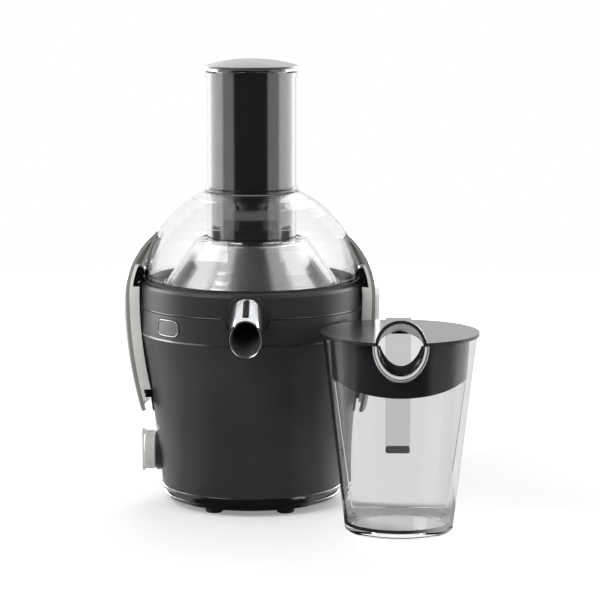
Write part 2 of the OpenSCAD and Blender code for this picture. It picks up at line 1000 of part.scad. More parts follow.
// The steel cone's line from its foot to its rounded shoulder, d outside its surface
cone_foot_r = collector_r + 0.6;
cone_slope = 36.6;
cone_round = 5;
function cone_line(d) = concat(
    [[cone_foot_r + d / cos(cone_slope), flange_z]],
    arc([cone_top_r - 1.4, cone_top_z - cone_round], cone_round + d, cone_slope, 90, 5),
    [[cone_top_r - 2.4, cone_top_z + d]]
);
module collector_cone() {
    color("#d0d3d6")
    turned(concat(cone_line(0), reversed(cone_line(-1))));
}

module cone_jacket() {
    color([0.85, 0.88, 0.9, 0.35])
    turned(concat(cone_line(3.4), reversed(cone_line(2))));
}

module spout_sleeve() {
    back = (spout_reach - body_top_r + 3.6) / cos(spout_slope);
    color("#d8dadc")
    difference() {
        intersection() {
            along_spout(-20, back, spout_r - 0.03);
            translate([-40, -spout_reach, 0]) cube([80, 200, 400]);
        }
        along_spout(-21, back + over, spout_r - 1.1);
    }
}

module spout_liner() {
    back = (spout_reach - body_top_r + 3.6) / cos(spout_slope);
    color("#0e0e0f")
    union() {
        difference() {
            intersection() {
                along_spout(-20, back, spout_r - 1.13);
                translate([-40, -spout_reach + 1.6, 0]) cube([80, 200, 400]);
            }
            along_spout(-21, back + over, spout_bore_r);
        }
        intersection() {
            difference() {
                along_spout(15, back - 3.6, spout_r + 1);
                along_spout(14, back, spout_r);
            }
            translate([-3, -spout_reach, mouth_z + 10]) cube([6, 60, 60]);
        }
    }
}

// -------------------------------------------------------------------- lid

// The dome: a short upright foot, a long shoulder arc and a flat crown
dome_foot_r = rim_top_r - 0.7;
dome_crown_in = dome_foot_r - tube_r - 2.7;
dome_line = [
    for (at = [
        [0, 0], [0.0034, 6], [0.0224, 14], [0.0759, 27], [0.1414, 36], [0.2328, 45],
        [0.3552, 54.5], [0.5, 63.5], [0.6552, 71.5], [0.8017, 77.5], [0.9224, 81.2],
        [1, dome_h]
    ])
        [dome_foot_r - at[0] * dome_crown_in, lid_z + at[1]]
];
module lid_dome() {
    color([0.9, 0.92, 0.94, 0.3])
    union() {
        turned(concat(
            dome_line,
            [[tube_r, dome_top_z], [tube_r, dome_top_z - dome_t]],
            reversed([for (i = [1 : len(dome_line) - 1]) shifted(dome_line, dome_t)[i]]),
            [[dome_foot_r - dome_t, lid_z]]
        ));
        ring(dome_foot_r + 0.5, dome_foot_r - dome_t - 1, lid_z, 2.6);
    }
}

module feed_tube() {
    collar_h = 6;
    seat_z = dome_top_z - dome_t;
    color([0.9, 0.92, 0.94, 0.3])
    union() {
        turned([
            [tube_bore_r, tube_low_z],
            [tube_r - 0.6, tube_low_z],
            [tube_r, tube_low_z + 1],
            [tube_r, tube_top_z - collar_h],
            [tube_r + 1.2, tube_top_z - collar_h],
            [tube_r + 1.2, tube_top_z],
            [tube_bore_r + 0.8, tube_top_z],
            [tube_bore_r, tube_top_z - 1.4]
        ]);
        ring(tube_r + 2, tube_r - 1, dome_top_z, 2);
        ring(tube_r + 1.2, tube_r - 1, dome_top_z + 4, 1.4);
        intersection() {
            ring(tube_r - 1, tube_bore_r - 1.4, seat_z, tube_top_z - seat_z - 3);
            translate([-1.5, 0, 0]) cube([3, 60, tube_top_z]);
        }
    }
}

module lid_gasket() {
    color("#101010")
    ring(rim_top_r, dome_foot_r - dome_t - 1, rim_z, gasket_h);
}

// Catches on the lid, with a sloped face that the clamps' hooks pull on
hook_half = 6.2;
catch_out_r = body_top_r + 2.3;
catch_in_r = dome_foot_r + 0.05;
catch_top_z = lid_z + 8;
catch_drop = (catch_out_r - catch_in_r - 2) * tan(hook_slope);
module lid_catches() {
    for (turn = [0, 180])
        color("#101012")
        rotate([0, 0, turn])
            turned_arc([
                [catch_in_r, lid_z + 2.8],
                [catch_in_r, catch_top_z],
                [catch_in_r + 2, catch_top_z],
                [catch_out_r, catch_top_z - catch_drop],
                [catch_out_r, rim_z - 2],
                [body_top_r - 1.4, rim_z - 1.2],
                [rim_top_r + 0.3, rim_z + apart],
                [rim_top_r + 0.3, lid_z + 2.8]
            ], hook_half - 0.6);
}

// ----------------------------------------------------------------- pusher

pusher_r = tube_bore_r - pusher_gap;
pusher_low_z = tube_low_z + pusher_short;
cap_low_z = tube_top_z + apart;
module pusher_body() {
    t = 2.2;
    color("#141318")
    difference() {
        union() {
            turned([
                [0, pusher_low_z],
                [pusher_r - 2, pusher_low_z],
                [pusher_r, pusher_low_z + 2],
                [pusher_r, cap_low_z],
                [pusher_r - t, cap_low_z],
                [pusher_r - t, pusher_low_z + 5],
                [pusher_r - t - 2, pusher_low_z + t],
                [0, pusher_low_z + t]
            ]);
            intersection() {
                ring(pusher_r, pusher_r - t - 2, pusher_low_z + 1, cap_low_z - pusher_low_z - 6);
                translate([-4.5, 0, 0]) cube([9, 60, cap_low_z]);
            }
        }
        intersection() {
            ring(pusher_r + 1, pusher_r - 1.6, pusher_low_z - over, tube_len);
            translate([-2.1, 0, 0]) cube([4.2, 60, 600]);
        }
    }
}

module pusher_cap() {
    edge_z = cap_low_z + cap_edge_h;
    crown_r = (pow(cap_r - 1.4, 2) + pow(cap_crown_h, 2)) / (2 * cap_crown_h);
    color("#76706f")
    union() {
        turned(concat(
            [[0, cap_low_z], [cap_r - 0.6, cap_low_z], [cap_r, cap_low_z + 0.6]],
            [[cap_r, edge_z - 1], [cap_r - 0.4, edge_z - 0.2]],
            arc(
                [0, edge_z + cap_crown_h - crown_r], crown_r,
                acos((cap_r - 1.4) / crown_r), 90, 8
            )
        ));
        disc(pusher_r - 2.25, cap_low_z - 4, 5);
    }
}

// ----------------------------------------------------------------- clamps

pivot_r = body_r(pivot_z) + pivot_out;
clamp_low_z = pivot_z - 15;
clamp_bend_z = rim_z - 12;
clamp_tip_r = dome_foot_r - 8.4;
clamp_tip_z = lid_z + 45;

// The outer line of a clamp: a long shallow arc and a tighter one over the lid
low_rise = clamp_bend_z - pivot_z;
low_lean = clamp_r - pivot_r - arm_out;
low_arc_r = (low_rise * low_rise + low_lean * low_lean) / (2 * low_lean);
low_arc_from = asin((clamp_low_z - clamp_bend_z) / low_arc_r);
bend_x = clamp_r - clamp_tip_r;
bend_z = clamp_tip_z - clamp_bend_z;
top_arc_r = (bend_x * bend_x + bend_z * bend_z) / (2 * bend_x);
top_arc_to = asin(bend_z / top_arc_r);
clamp_low_line =
    arc([clamp_r - low_arc_r, clamp_bend_z], low_arc_r, low_arc_from, 0, 8);
clamp_top_line =
    arc([clamp_r - top_arc_r, clamp_bend_z], top_arc_r, 0, top_arc_to, 9);
clamp_line = concat(
    clamp_low_line,
    [for (i = [1 : len(clamp_top_line) - 1]) clamp_top_line[i]]
);

function strip(line, d0, d1) = concat(shifted(line, d0), reversed(shifted(line, d1)));

// Radius of a clamp at a height below its bend, and above it, d inside its outer line
function low_clamp_r(z, d) =
    clamp_r - low_arc_r + sqrt(pow(low_arc_r - d, 2) - pow(z - clamp_bend_z, 2));
function top_clamp_r(z, d) =
    clamp_r - top_arc_r + sqrt(pow(top_arc_r - d, 2) - pow(z - clamp_bend_z, 2));

knuckle_r = 4.6;
web_t = 3;
cheek_deg = 1.7;
cheek_low_z = pivot_z + 6;
cheek_top_z = rim_z - 4.5;
grip_low_z = rim_z + 17;
module knuckle_outline() {
    circle(r = knuckle_r);
    translate([0, -4])
        square([low_clamp_r(pivot_z - 4, skin_t) - pivot_r - 0.8, 8]);
}

module below(z) {
    translate([-400, -400, z - 800]) cube([800, 800, 800]);
}

module clamp_arm() {
    inner_d = 13;
    difference() {
        union() {
            intersection() {
                turned_arc(strip(clamp_line, skin_t + 0.05, skin_t + web_t), clamp_half);
                disc(2 * clamp_r, pivot_z - 5, grip_low_z - pivot_z + 5);
            }
            for (side = [-1, 1])
                rotate([0, 0, side * (clamp_half - cheek_deg / 2)])
                    intersection() {
                        turned_arc(strip(clamp_line, skin_t + 0.05, inner_d), cheek_deg / 2);
                        disc(2 * clamp_r, cheek_low_z, cheek_top_z - cheek_low_z);
                    }
            translate([pivot_r, 0, pivot_z])
                across_y(2 * knuckle_half)
                    knuckle_outline();
        }
        translate([pivot_r, 0, pivot_z])
            across_y(40)
                circle(r = pin_r + pin_fit);
        for (side = [-1, 1])
            translate([pivot_r, side * (knuckle_half + 4), pivot_z])
                across_y(8)
                    circle(r = knuckle_r + 0.7);
    }
}

// The grip over the lid: an inner rail from the tip down to the hook, and a sunk panel
module clamp_skin() {
    rail_t = 3.2;
    rail_foot_r = dome_foot_r + 1.8;
    sunk = 2.6;
    panel_d = skin_t - 0.4;
    centre_r = clamp_r - top_arc_r;
    panel_from = asin((grip_low_z - clamp_bend_z) / (top_arc_r - panel_d));
    turned_arc(strip(clamp_line, 0, skin_t), clamp_half);
    turned_arc([
        [rail_foot_r, grip_low_z],
        [rail_foot_r + rail_t, grip_low_z],
        [clamp_tip_r + 0.6, clamp_tip_z - 3],
        [clamp_tip_r - 0.9, clamp_tip_z - 3.6]
    ], clamp_half);
    turned_arc(concat(
        arc(
            [centre_r, clamp_bend_z], top_arc_r - panel_d,
            panel_from, top_arc_to - 3, 6
        ),
        [[rail_foot_r + rail_t / 2, grip_low_z]]
    ), clamp_half - sunk);
}

module clamp_hook() {
    gap = 0.35;
    shift = gap / sin(hook_slope);
    inner_z = catch_top_z + gap;
    face_r = catch_out_r + 0.9;
    web_d = skin_t + web_t + 0.1;
    turned_arc([
        [catch_in_r + 2 + shift, inner_z - 0.1],
        [catch_out_r + shift, catch_top_z - catch_drop - 0.1],
        [face_r + 0.3, catch_top_z - catch_drop - 1.2],
        [face_r + 0.3, rim_z - 6],
        [top_clamp_r(rim_z - 6, web_d), rim_z - 6],
        [top_clamp_r(rim_z, web_d), rim_z],
        [top_clamp_r(rim_z + 6, web_d), rim_z + 6],
        [top_clamp_r(catch_top_z + 4, web_d), catch_top_z + 4],
        [catch_in_r + 2 + shift, catch_top_z + 4]
    ], clamp_half - cheek_deg - 0.15);
}

module right_clamp_arm() { color("#cfd1d3") clamp_arm(); }
module right_clamp_skin() { color("#8d8d8e") clamp_skin(); }
module right_clamp_hook() { color("#0f0f10") clamp_hook(); }
module left_clamp_arm() { color("#cfd1d3") mirror([1, 0, 0]) clamp_arm(); }
module left_clamp_skin() { color("#8d8d8e") mirror([1, 0, 0]) clamp_skin(); }
module left_clamp_hook() { color("#0f0f10") mirror([1, 0, 0]) clamp_hook(); }

knuckle_half = 9.5;
ear_in = knuckle_half + 0.4;
ear_t = 3.6;
ear_r = 4.2;
bracket_half_z = 15;
bracket_t = 1.3;
module clamp_bracket() {
    low = pivot_z - bracket_half_z - 2;
    high = pivot_z + bracket_half_z - 2;
    difference() {
        union() {
            turned_arc([
                [body_r(low) + 0.05, low],
                [body_r(low) + bracket_t, low],
                [body_r(high) + bracket_t, high],
                [body_r(high) + 0.05, high]
            ], 8.2);
            for (side = [-1, 1])
                translate([0, side * (ear_in + ear_t / 2), 0])
                    across_y(ear_t)
                        union() {
                            translate([pivot_r, pivot_z]) circle(r = ear_r);
                            translate([pivot_r - 6.4, pivot_z - ear_r])
                                square([6.4, 2 * ear_r]);
                        }
        }
        translate([pivot_r, 0, pivot_z])
            across_y(2 * ear_in)
                circle(r = 5.2);
        translate([pivot_r, 0, pivot_z])
            across_y(60)
                circle(r = pin_r);
        turned(concat([[0, body_foot_z]], wall_line(-0.02), [[0, wall_top_z]]));
    }
}

module clamp_brackets() {
    color("#18181a") clamp_bracket();
    color("#18181a") mirror([1, 0, 0]) clamp_bracket();
}

module clamp_pins() {
    pin_half = ear_in + ear_t + 0.8;
    color("#c9ccd0")
    for (side = [-1, 1])
        translate([side * pivot_r, 0, pivot_z])
            across_y(2 * pin_half)
                circle(r = pin_r);
}

module interlock_switches() {
    color("#1c1c1e")
    for (side = [-1, 1])
        translate([side * (body_r(pivot_z - 8) - wall - 6.2) - 5, -8, pivot_z - 8])
            cube([10, 16, 20]);
}

// --------------------------------------------------------------- controls

module button_bezel() {
    color("#1a1a1c")
    intersection() {
        at_button()
            along_x(body_top_r - wall - 1, body_top_r + 4)
                difference() {
                    racetrack(button_w - 0.1, button_h - 0.1);
                    racetrack(button_w - 3, button_h - 3);
                }
        cylinder(r = body_top_r + 0.35, h = 400, $fn = 720);
    }
}

module button_cap() {
    stem_x = body_top_r - 6.8;
    color("#8d8d90")
    intersection() {
        at_button()
            union() {
                along_x(body_top_r - 4.4, body_top_r + 4)
                    racetrack(button_w - 3.8, button_h - 3.8);
                along_x(stem_x, body_top_r - 4)
                    circle(r = 2.4);
            }
        cylinder(r = body_top_r + 0.1, h = 400, $fn = 720);
    }
}

module button_switch() {
    back = seat_r + seat_wall_t;
    front = body_top_r - 6.8 - button_travel - 0.3;
    color("#e0e0da")
    at_button()
        union() {
            translate([back, -7.5, -6]) cube([1.1, 15, 12]);
            translate([back, -3.5, -3.5]) cube([front - back, 7, 7]);
        }
}

knob_back_x = body_r(knob_z + knob_r) + 0.8;
knob_face_x = knob_back_x + knob_depth;
module knob_collar() {
    color("#121213")
    mirror([1, 0, 0])
        difference() {
            translate([0, 0, knob_z])
                along_x(body_foot_r - 6, knob_back_x - apart)
                    difference() {
                        circle(r = knob_r + 1.2);
                        circle(r = knob_bore_r);
                    }
            turned(concat([[0, body_foot_z]], wall_line(-0.02), [[0, wall_top_z]]));
        }
}

spindle_r = 3;
spindle_in = body_r(knob_z) - wall - 16;
module speed_knob() {
    grip_half = knob_r + 1.8;
    face_drop = 2.4;
    round = 1.2;
    color("#c4c5c7")
    mirror([1, 0, 0])
        difference() {
            translate([0, 0, knob_z])
                union() {
                    rotate([0, 90, 0])
                        rotate_extrude()
                            polygon([
                                [0, knob_back_x],
                                [knob_r - round, knob_back_x],
                                [knob_r, knob_back_x + round],
                                [knob_r, knob_back_x + 2.2],
                                [knob_r - 0.7, knob_back_x + 2.7],
                                [knob_r - 0.7, knob_face_x - face_drop - round],
                                [knob_r - 0.7 - round, knob_face_x - face_drop],
                                [0, knob_face_x - face_drop]
                            ]);
                    translate([knob_back_x + 3, -3.4, -knob_r])
                        cube([knob_face_x - knob_back_x - 3, 6.8, 2 * knob_r]);
                    translate([knob_face_x - 2.4, -3.4, -grip_half])
                        cube([2.4, 6.8, 2 * grip_half]);
                }
            translate([0, 0, knob_z])
                along_x(knob_back_x - over, knob_back_x + 5)
                    circle(r = spindle_r);
        }
}

module knob_spindle() {
    color("#2b2b2d")
    mirror([1, 0, 0])
        translate([0, 0, knob_z])
            along_x(spindle_in, knob_back_x + 5)
                circle(r = spindle_r);
}

module speed_switch() {
    half = 14;
    x1 = sqrt(pow(body_r(knob_z - half) - wall, 2) - half * half) - 0.4;
    color("#d9d9d2")
    mirror([1, 0, 0])
        difference() {
            translate([x1 - 20, -half, knob_z - half]) cube([20, 2 * half, 2 * half]);
            translate([0, 0, knob_z])
                along_x(spindle_in - apart, x1 + over)
                    circle(r = spindle_r + 0.05);
        }
}

// -------------------------------------------------------------------- jug

function jug_r(z) = jug_base_r + (jug_rim_r - jug_base_r) * z / jug_h;

module at_jug() {
    translate([jug_x, -jug_front, 0]) children();
}

// The spout opening's outline, in X and Z, with its round lower end
port_slope = acos(port_r / port_depth);

// A bore that slopes down and out through the front of the jug's rim
module port_bore(r) {
    translate([0, -jug_r(jug_h), jug_h])
        rotate([port_slope - 90, 0, 0])
            cylinder(r = r, h = 150, center = true);
}

module jug_body() {
    low_r = jug_base_r - 1.6;
    color([0.9, 0.92, 0.94, 0.3])
    at_jug()
        difference() {
            union() {
                turned([
                    [0, 1.2],
                    [low_r - 8, 1.2],
                    [low_r - 8, 0],
                    [low_r, 0],
                    [jug_r(1.6), 1.6],
                    [jug_r(jug_h), jug_h],
                    [jug_r(jug_h) - jug_wall, jug_h],
                    [jug_r(jug_floor + 4) - jug_wall, jug_floor + 4],
                    [jug_r(jug_floor) - jug_wall - 4, jug_floor],
                    [0, jug_floor]
                ]);
                intersection() {
                    turned([
                        [jug_r(jug_h - 50) - 0.6, jug_h - 50],
                        [jug_r(jug_h - 50) + 2, jug_h - 50],
                        [jug_r(jug_h) + 1.6, jug_h],
                        [jug_r(jug_h) - 0.6, jug_h]
                    ]);
                    port_bore(port_r + bead_w);
                    below(jug_h);
                }
            }
            port_bore(port_r);
        }
}

module jug_handle() {
    t = 4;
    out_y = jug_rim_r + handle_gap;
    round = 12;
    color([0.9, 0.92, 0.94, 0.3])
    at_jug()
        difference() {
            rotate([90, 0, 90])
                translate([0, 0, -handle_w / 2])
                    linear_extrude(height = handle_w)
                        difference() {
                            union() {
                                translate([jug_rim_r - 4, jug_h - t])
                                    square([handle_gap + 4 + t - round, t]);
                                translate([out_y, handle_end_z])
                                    square([t, jug_h - round - handle_end_z]);
                                translate([out_y + t - round, jug_h - round])
                                    circle(r = round);
                            }
                            translate([out_y + t - round, jug_h - round])
                                circle(r = round - t);
                            translate([out_y - round, handle_end_z - over])
                                square([round, jug_h - round - handle_end_z + over]);
                            translate([out_y - 20 - round, jug_h - 2 * round - t])
                                square([20 + t, 2 * round]);
                        }
            turned([
                [0, 0], [jug_r(0) + 0.02, 0],
                [jug_r(jug_h) + 0.02, jug_h], [jug_r(jug_h) + 0.02, jug_h + over],
                [0, jug_h + over]
            ]);
        }
}

lid_plane_z = jug_h + apart;
hood_tilt = 14;
module hood(r) {
    translate([0, -jug_lid_r, lid_plane_z])
        rotate([-90 - hood_tilt, 0, 0])
            translate([0, 0, -20])
                cylinder(r = r, h = 140);
}

module jug_lid() {
    hood_t = 2.8;
    skirt_t = 2;
    skirt_low_z = jug_h - skirt_depth;
    low_r = jug_r(skirt_low_z) - jug_wall - 2.2;
    top_r = jug_r(jug_h) - jug_wall - 4;
    color("#4b4b4d")
    at_jug()
        difference() {
            union() {
                disc(jug_lid_r, lid_plane_z, jug_lid_t);
                rotate([0, 0, -90])
                    turned_arc([
                        [low_r - skirt_t, skirt_low_z],
                        [low_r, skirt_low_z],
                        [top_r, lid_plane_z + over],
                        [top_r - skirt_t, lid_plane_z + over]
                    ], skirt_half);
                intersection() {
                    hood(port_r + hood_t);
                    disc(jug_lid_r, lid_plane_z, 60);
                }
                translate([-12, jug_lid_r - 8, lid_plane_z])
                    cube([24, 18, jug_lid_t]);
            }
            intersection() {
                hood(port_r);
                translate([-port_r, -jug_lid_r - 1, lid_plane_z - over])
                    cube([2 * port_r, 78, 80]);
            }
            intersection() {
                port_bore(port_r);
                translate([-40, -jug_lid_r - 1, 0]) cube([80, 45, lid_plane_z + 0.1]);
            }
        }
}

module froth_separator() {
    plate_y = -28;
    t = 1.8;
    low = 26;
    room = jug_wall + 0.15;
    color([0.9, 0.92, 0.94, 0.3])
    at_jug()
        intersection() {
            translate([-jug_rim_r, plate_y, low])
                cube([2 * jug_rim_r, t, jug_h - skirt_depth - apart - low]);
            turned([
                [0, low], [jug_r(low) - room, low],
                [jug_r(jug_h) - room, jug_h], [0, jug_h]
            ]);
        }
}

motor_housing();
control_band();
trim_ring();
bowl_seat();
bottom_cover();
cord_winder();
base_plate();
base_lip();
rubber_feet();
cord_inlet();
motor_stator();
field_coils();
upper_bracket();
lower_bracket();
bearings();
rubber_mounts();
tie_bolts();
brush_gear();
shaft_seal();
speed_switch();
interlock_switches();
button_bezel();
button_switch();
knob_collar();
clamp_brackets();
clamp_pins();
motor_shaft();
armature();
commutator();
cooling_fan();
drive_coupling();
sieve_base();
sieve_mesh();
grater_disc();
pulp_bowl();
bowl_rim();
juice_collector();
collector_cone();
cone_jacket();
spout_sleeve();
spout_liner();
lid_dome();
feed_tube();
lid_gasket();
lid_catches();
pusher_body();
pusher_cap();
left_clamp_arm();
left_clamp_skin();
left_clamp_hook();
right_clamp_arm();
right_clamp_skin();
right_clamp_hook();
speed_knob();
knob_spindle();
button_cap();
jug_body();
jug_handle();
jug_lid();
froth_separator();
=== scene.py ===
"""A centrifugal juicer with its jug: finishes, small pieces, studio light and camera on the fixed frame."""
import logging
import math
from dataclasses import dataclass
from enum import Enum
from typing import Callable

import bpy
from mathutils import Matrix, Vector


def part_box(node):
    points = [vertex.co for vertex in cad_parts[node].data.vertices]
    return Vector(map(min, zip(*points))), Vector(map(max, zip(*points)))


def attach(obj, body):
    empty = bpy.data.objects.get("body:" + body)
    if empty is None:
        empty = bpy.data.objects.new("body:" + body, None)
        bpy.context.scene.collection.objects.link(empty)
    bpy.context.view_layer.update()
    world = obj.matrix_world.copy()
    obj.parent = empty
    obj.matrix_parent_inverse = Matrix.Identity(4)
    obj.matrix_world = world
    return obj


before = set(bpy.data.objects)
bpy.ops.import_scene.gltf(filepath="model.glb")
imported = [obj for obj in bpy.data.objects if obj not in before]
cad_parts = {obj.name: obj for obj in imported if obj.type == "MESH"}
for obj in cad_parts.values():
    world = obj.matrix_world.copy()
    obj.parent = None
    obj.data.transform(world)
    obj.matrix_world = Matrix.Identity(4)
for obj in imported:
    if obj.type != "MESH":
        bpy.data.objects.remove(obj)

LOG = logging.getLogger("juicer")
MM = 0.001
TINY = 1e-6
Colour = tuple[float, float, float]
Place = tuple[float, float, float]
Sockets = dict[object, object]


class Grain(Enum):
    """Which way the marks of a metal finish run."""

    ROUND = "round the upright axis"
    EVEN = "no way in particular"


class Value:
    """A shader output that takes part in Python arithmetic, one Math node for each operation."""

    def __init__(self, tree: "Tree", socket: bpy.types.NodeSocket) -> None:
        """Keeps the socket and the tree that it belongs to."""
        self.tree = tree
        self.socket = socket

    def _math(self, operation: str, first: object, second: object) -> "Value":
        """Adds one Math node.

        Args:
            operation: the Math node's operation.
            first: its first value, a number or a Value.
            second: its second value, a number or a Value.

        Returns:
            The node's output.
        """
        return self.tree.node("ShaderNodeMath", {"operation": operation}, {0: first, 1: second})

    def __add__(self, other: object) -> "Value":
        """self + other."""
        return self._math("ADD", self, other)

    def __radd__(self, other: object) -> "Value":
        """other + self."""
        return self._math("ADD", other, self)

    def __sub__(self, other: object) -> "Value":
        """self - other."""
        return self._math("SUBTRACT", self, other)

    def __rsub__(self, other: object) -> "Value":
        """other - self."""
        return self._math("SUBTRACT", other, self)

    def __mul__(self, other: object) -> "Value":
        """self * other."""
        return self._math("MULTIPLY", self, other)

    def __rmul__(self, other: object) -> "Value":
        """other * self."""
        return self._math("MULTIPLY", other, self)

    def __truediv__(self, other: object) -> "Value":
        """self / other."""
        return self._math("DIVIDE", self, other)

    def __pow__(self, other: object) -> "Value":
        """self to the power of other."""
        return self._math("POWER", self, other)

    def above(self, edge: float) -> "Value":
        """1 where self is over an edge, and 0 elsewhere."""
        return self._math("GREATER_THAN", self, edge)

    def wrapped(self, period: float) -> "Value":
        """The remainder of self over a period, never negative."""
        return self._math("FLOORED_MODULO", self, period)

    def size(self) -> "Value":
        """self without its sign."""
        return self._math("ABSOLUTE", self, 0.0)

    def sine(self) -> "Value":
        """The sine of self in radians."""
        return self._math("SINE", self, 0.0)

    def turn_from(self, across: "Value") -> "Value":
        """The angle of the point (across, self) round the origin."""
        return self._math("ARCTAN2", self, across)

    def ramp(self, low: float, high: float, start: float = 0.0, end: float = 1.0) -> "Value":
        """A smooth step from one value to another.

        Args:
            low: where the step begins.
            high: where the step ends.
            start: the value up to low.
            end: the value from high on.

        Returns:
            The stepped value.
        """
        return self.tree.node(
            "ShaderNodeMapRange",
            {"interpolation_type": "SMOOTHSTEP"},
            {"Value": self, "From Min": low, "From Max": high, "To Min": start, "To Max": end},
        )


class Tree:
    """One node tree, emptied and built up again."""

    def __init__(self, tree: bpy.types.NodeTree) -> None:
        """Clears the tree."""
        self.tree = tree
        tree.nodes.clear()

    def node(self, kind: str, settings: dict[str, object], sockets: Sockets, out: object = 0) -> Value:
        """Adds one node, sets it up and fills its sockets.

        Args:
            kind: the node's type.
            settings: its settings; "stops" holds a ramp's (place, colour) pairs.
            sockets: numbers, colours or Values for its inputs, by name or place.
            out: which output is wanted.

        Returns:
            The chosen output.
        """
        made = self.tree.nodes.new(kind)
        for key, value in settings.items():
            if key == "stops":
                for place, (at, colour) in enumerate(value):
                    stops = made.color_ramp.elements
                    stop = stops[place] if place < len(stops) else stops.new(at)
                    stop.position, stop.color = at, (*colour, 1.0)
            else:
                setattr(made, key, value)
        for key, value in sockets.items():
            if isinstance(value, Value):
                self.tree.links.new(value.socket, made.inputs[key])
            else:
                made.inputs[key].default_value = value
        return Value(self, made.outputs[out])

    def place(self) -> Value:
        """The point on the surface, in the object's own metres."""
        return self.node("ShaderNodeTexCoord", {}, {}, "Object")

    def axes(self, vector: Value) -> tuple[Value, Value, Value]:
        """The three parts of a vector."""
        return tuple(self.node("ShaderNodeSeparateXYZ", {}, {0: vector}, out) for out in range(3))

    def vector(self, x: object, y: object, z: object) -> Value:
        """A vector made of three values."""
        return self.node("ShaderNodeCombineXYZ", {}, {0: x, 1: y, 2: z})

    def noise(self, vector: Value, scale: float, detail: float, rough: float) -> Value:
        """Noise from 0 to 1, with so many lumps to the metre."""
        sockets = {"Vector": vector, "Scale": scale, "Detail": detail, "Roughness": rough}
        return self.node("ShaderNodeTexNoise", {}, sockets)

    def blend(self, factor: object, first: object, second: object) -> Value:
        """A colour between two colours.

        Args:
            factor: 0 for the first colour and 1 for the second.
            first: a colour or a Value.
            second: a colour or a Value.

        Returns:
            The mixed colour.
        """
        sockets = {0: factor, 6: first, 7: second}
        for key in (6, 7):
            if isinstance(sockets[key], tuple) and len(sockets[key]) == 3:
                sockets[key] = (*sockets[key], 1.0)
        return self.node("ShaderNodeMix", {"data_type": "RGBA"}, sockets, 2)

    def bump(self, height: Value, depth: float) -> Value:
        """A surface normal that follows a height.

        Args:
            height: the height, from 0 to 1.
            depth: how deep 1 is, in metres.

        Returns:
            The bumped normal.
        """
        return self.node("ShaderNodeBump", {}, {"Strength": 1.0, "Distance": depth, "Height": height})

    def surface(self, sockets: Sockets) -> None:
        """Wires a Principled shader to the material's output."""
        self.end("ShaderNodeOutputMaterial", self.node("ShaderNodeBsdfPrincipled", {}, sockets))

    def end(self, kind: str, shader: Value) -> None:
        """Wires a shader to the tree's output node."""
        output = self.tree.nodes.new(kind)
        self.tree.links.new(shader.socket, output.inputs["Surface"])


def shades(colour: Colour, share: float, lift: float = 0.0) -> Colour:
    """A colour made lighter or darker by a share, and lifted by a little."""
    return tuple(min(1.0, part * share + lift) for part in colour)


@dataclass(frozen=True)
class Finish:
    """What every finish has: a name, a colour and how dull it is."""

    name: str
    colour: Colour
    roughness: float

    def build(self) -> bpy.types.Material:
        """Makes the material.

        Returns:
            A material whose nodes have been wired by sockets().
        """
        material = bpy.data.materials.new(self.name)
        material.use_nodes = True
        tree = Tree(material.node_tree)
        tree.surface(self.sockets(tree))
        return material

    def sockets(self, tree: Tree) -> Sockets:
        """What the finish feeds into the shader."""
        return {"Base Color": (*self.colour, 1.0), "Roughness": self.roughness}


@dataclass(frozen=True)
class MouldedPlastic(Finish):
    """Plastic with a fine moulded skin that handling has polished here and there."""

    skin: float = 0.00045
    depth: float = 0.000012
    shine: float = 0.3
    clouds: float = 14.0
    cloud_dull: float = 0.07
    rubs: float = 46.0
    rub_shine: float = 0.05
    wear: float = 0.5

    def sockets(self, tree: Tree) -> Sockets:
        """A pebbled skin, cloudy shine and a little change of shade.

        Args:
            tree: the material's node tree.

        Returns:
            Numbers, colours and Values by the names of the shader's sockets.
        """
        place = tree.place()
        pebble = tree.noise(place, 1.0 / self.skin, 3.0, 0.6)
        cloud = tree.noise(place, self.clouds, 3.0, 0.55)
        rubbed = tree.noise(place, self.rubs, 5.0, 0.65).ramp(0.52, 0.74) * self.wear
        dark, light = shades(self.colour, 0.9), shades(self.colour, 1.12, 0.001)
        middle = self.roughness - self.cloud_dull / 2
        return {
            "Base Color": tree.blend(cloud.ramp(0.3, 0.7), dark, light),
            "Roughness": cloud * self.cloud_dull + middle - rubbed * self.rub_shine,
            "Normal": tree.bump(pebble, self.depth),
            "Specular IOR Level": self.shine,
        }


@dataclass(frozen=True)
class GlossPlastic(Finish):
    """Polished plastic with the faint waves and smudges of a moulding."""

    coat: float = 0.0
    coat_ior: float = 1.5
    waves: float = 24.0
    wave_depth: float = 0.00008
    smudges: float = 60.0
    hairs: float = 900.0

    def sockets(self, tree: Tree) -> Sockets:
        """Long shallow waves, fine hairlines and soft smudges.

        Args:
            tree: the material's node tree.

        Returns:
            Numbers, colours and Values by the names of the shader's sockets.
        """
        place = tree.place()
        wave = tree.noise(place, self.waves, 1.0, 0.4)
        smudge = tree.noise(place, self.smudges, 4.0, 0.6).ramp(0.5, 0.8)
        hair = tree.noise(place, self.hairs, 2.0, 0.7).ramp(0.62, 0.7)
        return {
            "Base Color": tree.blend(smudge, self.colour, shades(self.colour, 1.25, 0.002)),
            "Roughness": smudge * 0.06 + hair * 0.03 + self.roughness,
            "Normal": tree.bump(wave, self.wave_depth),
            "Coat Weight": self.coat,
            "Coat IOR": self.coat_ior,
        }


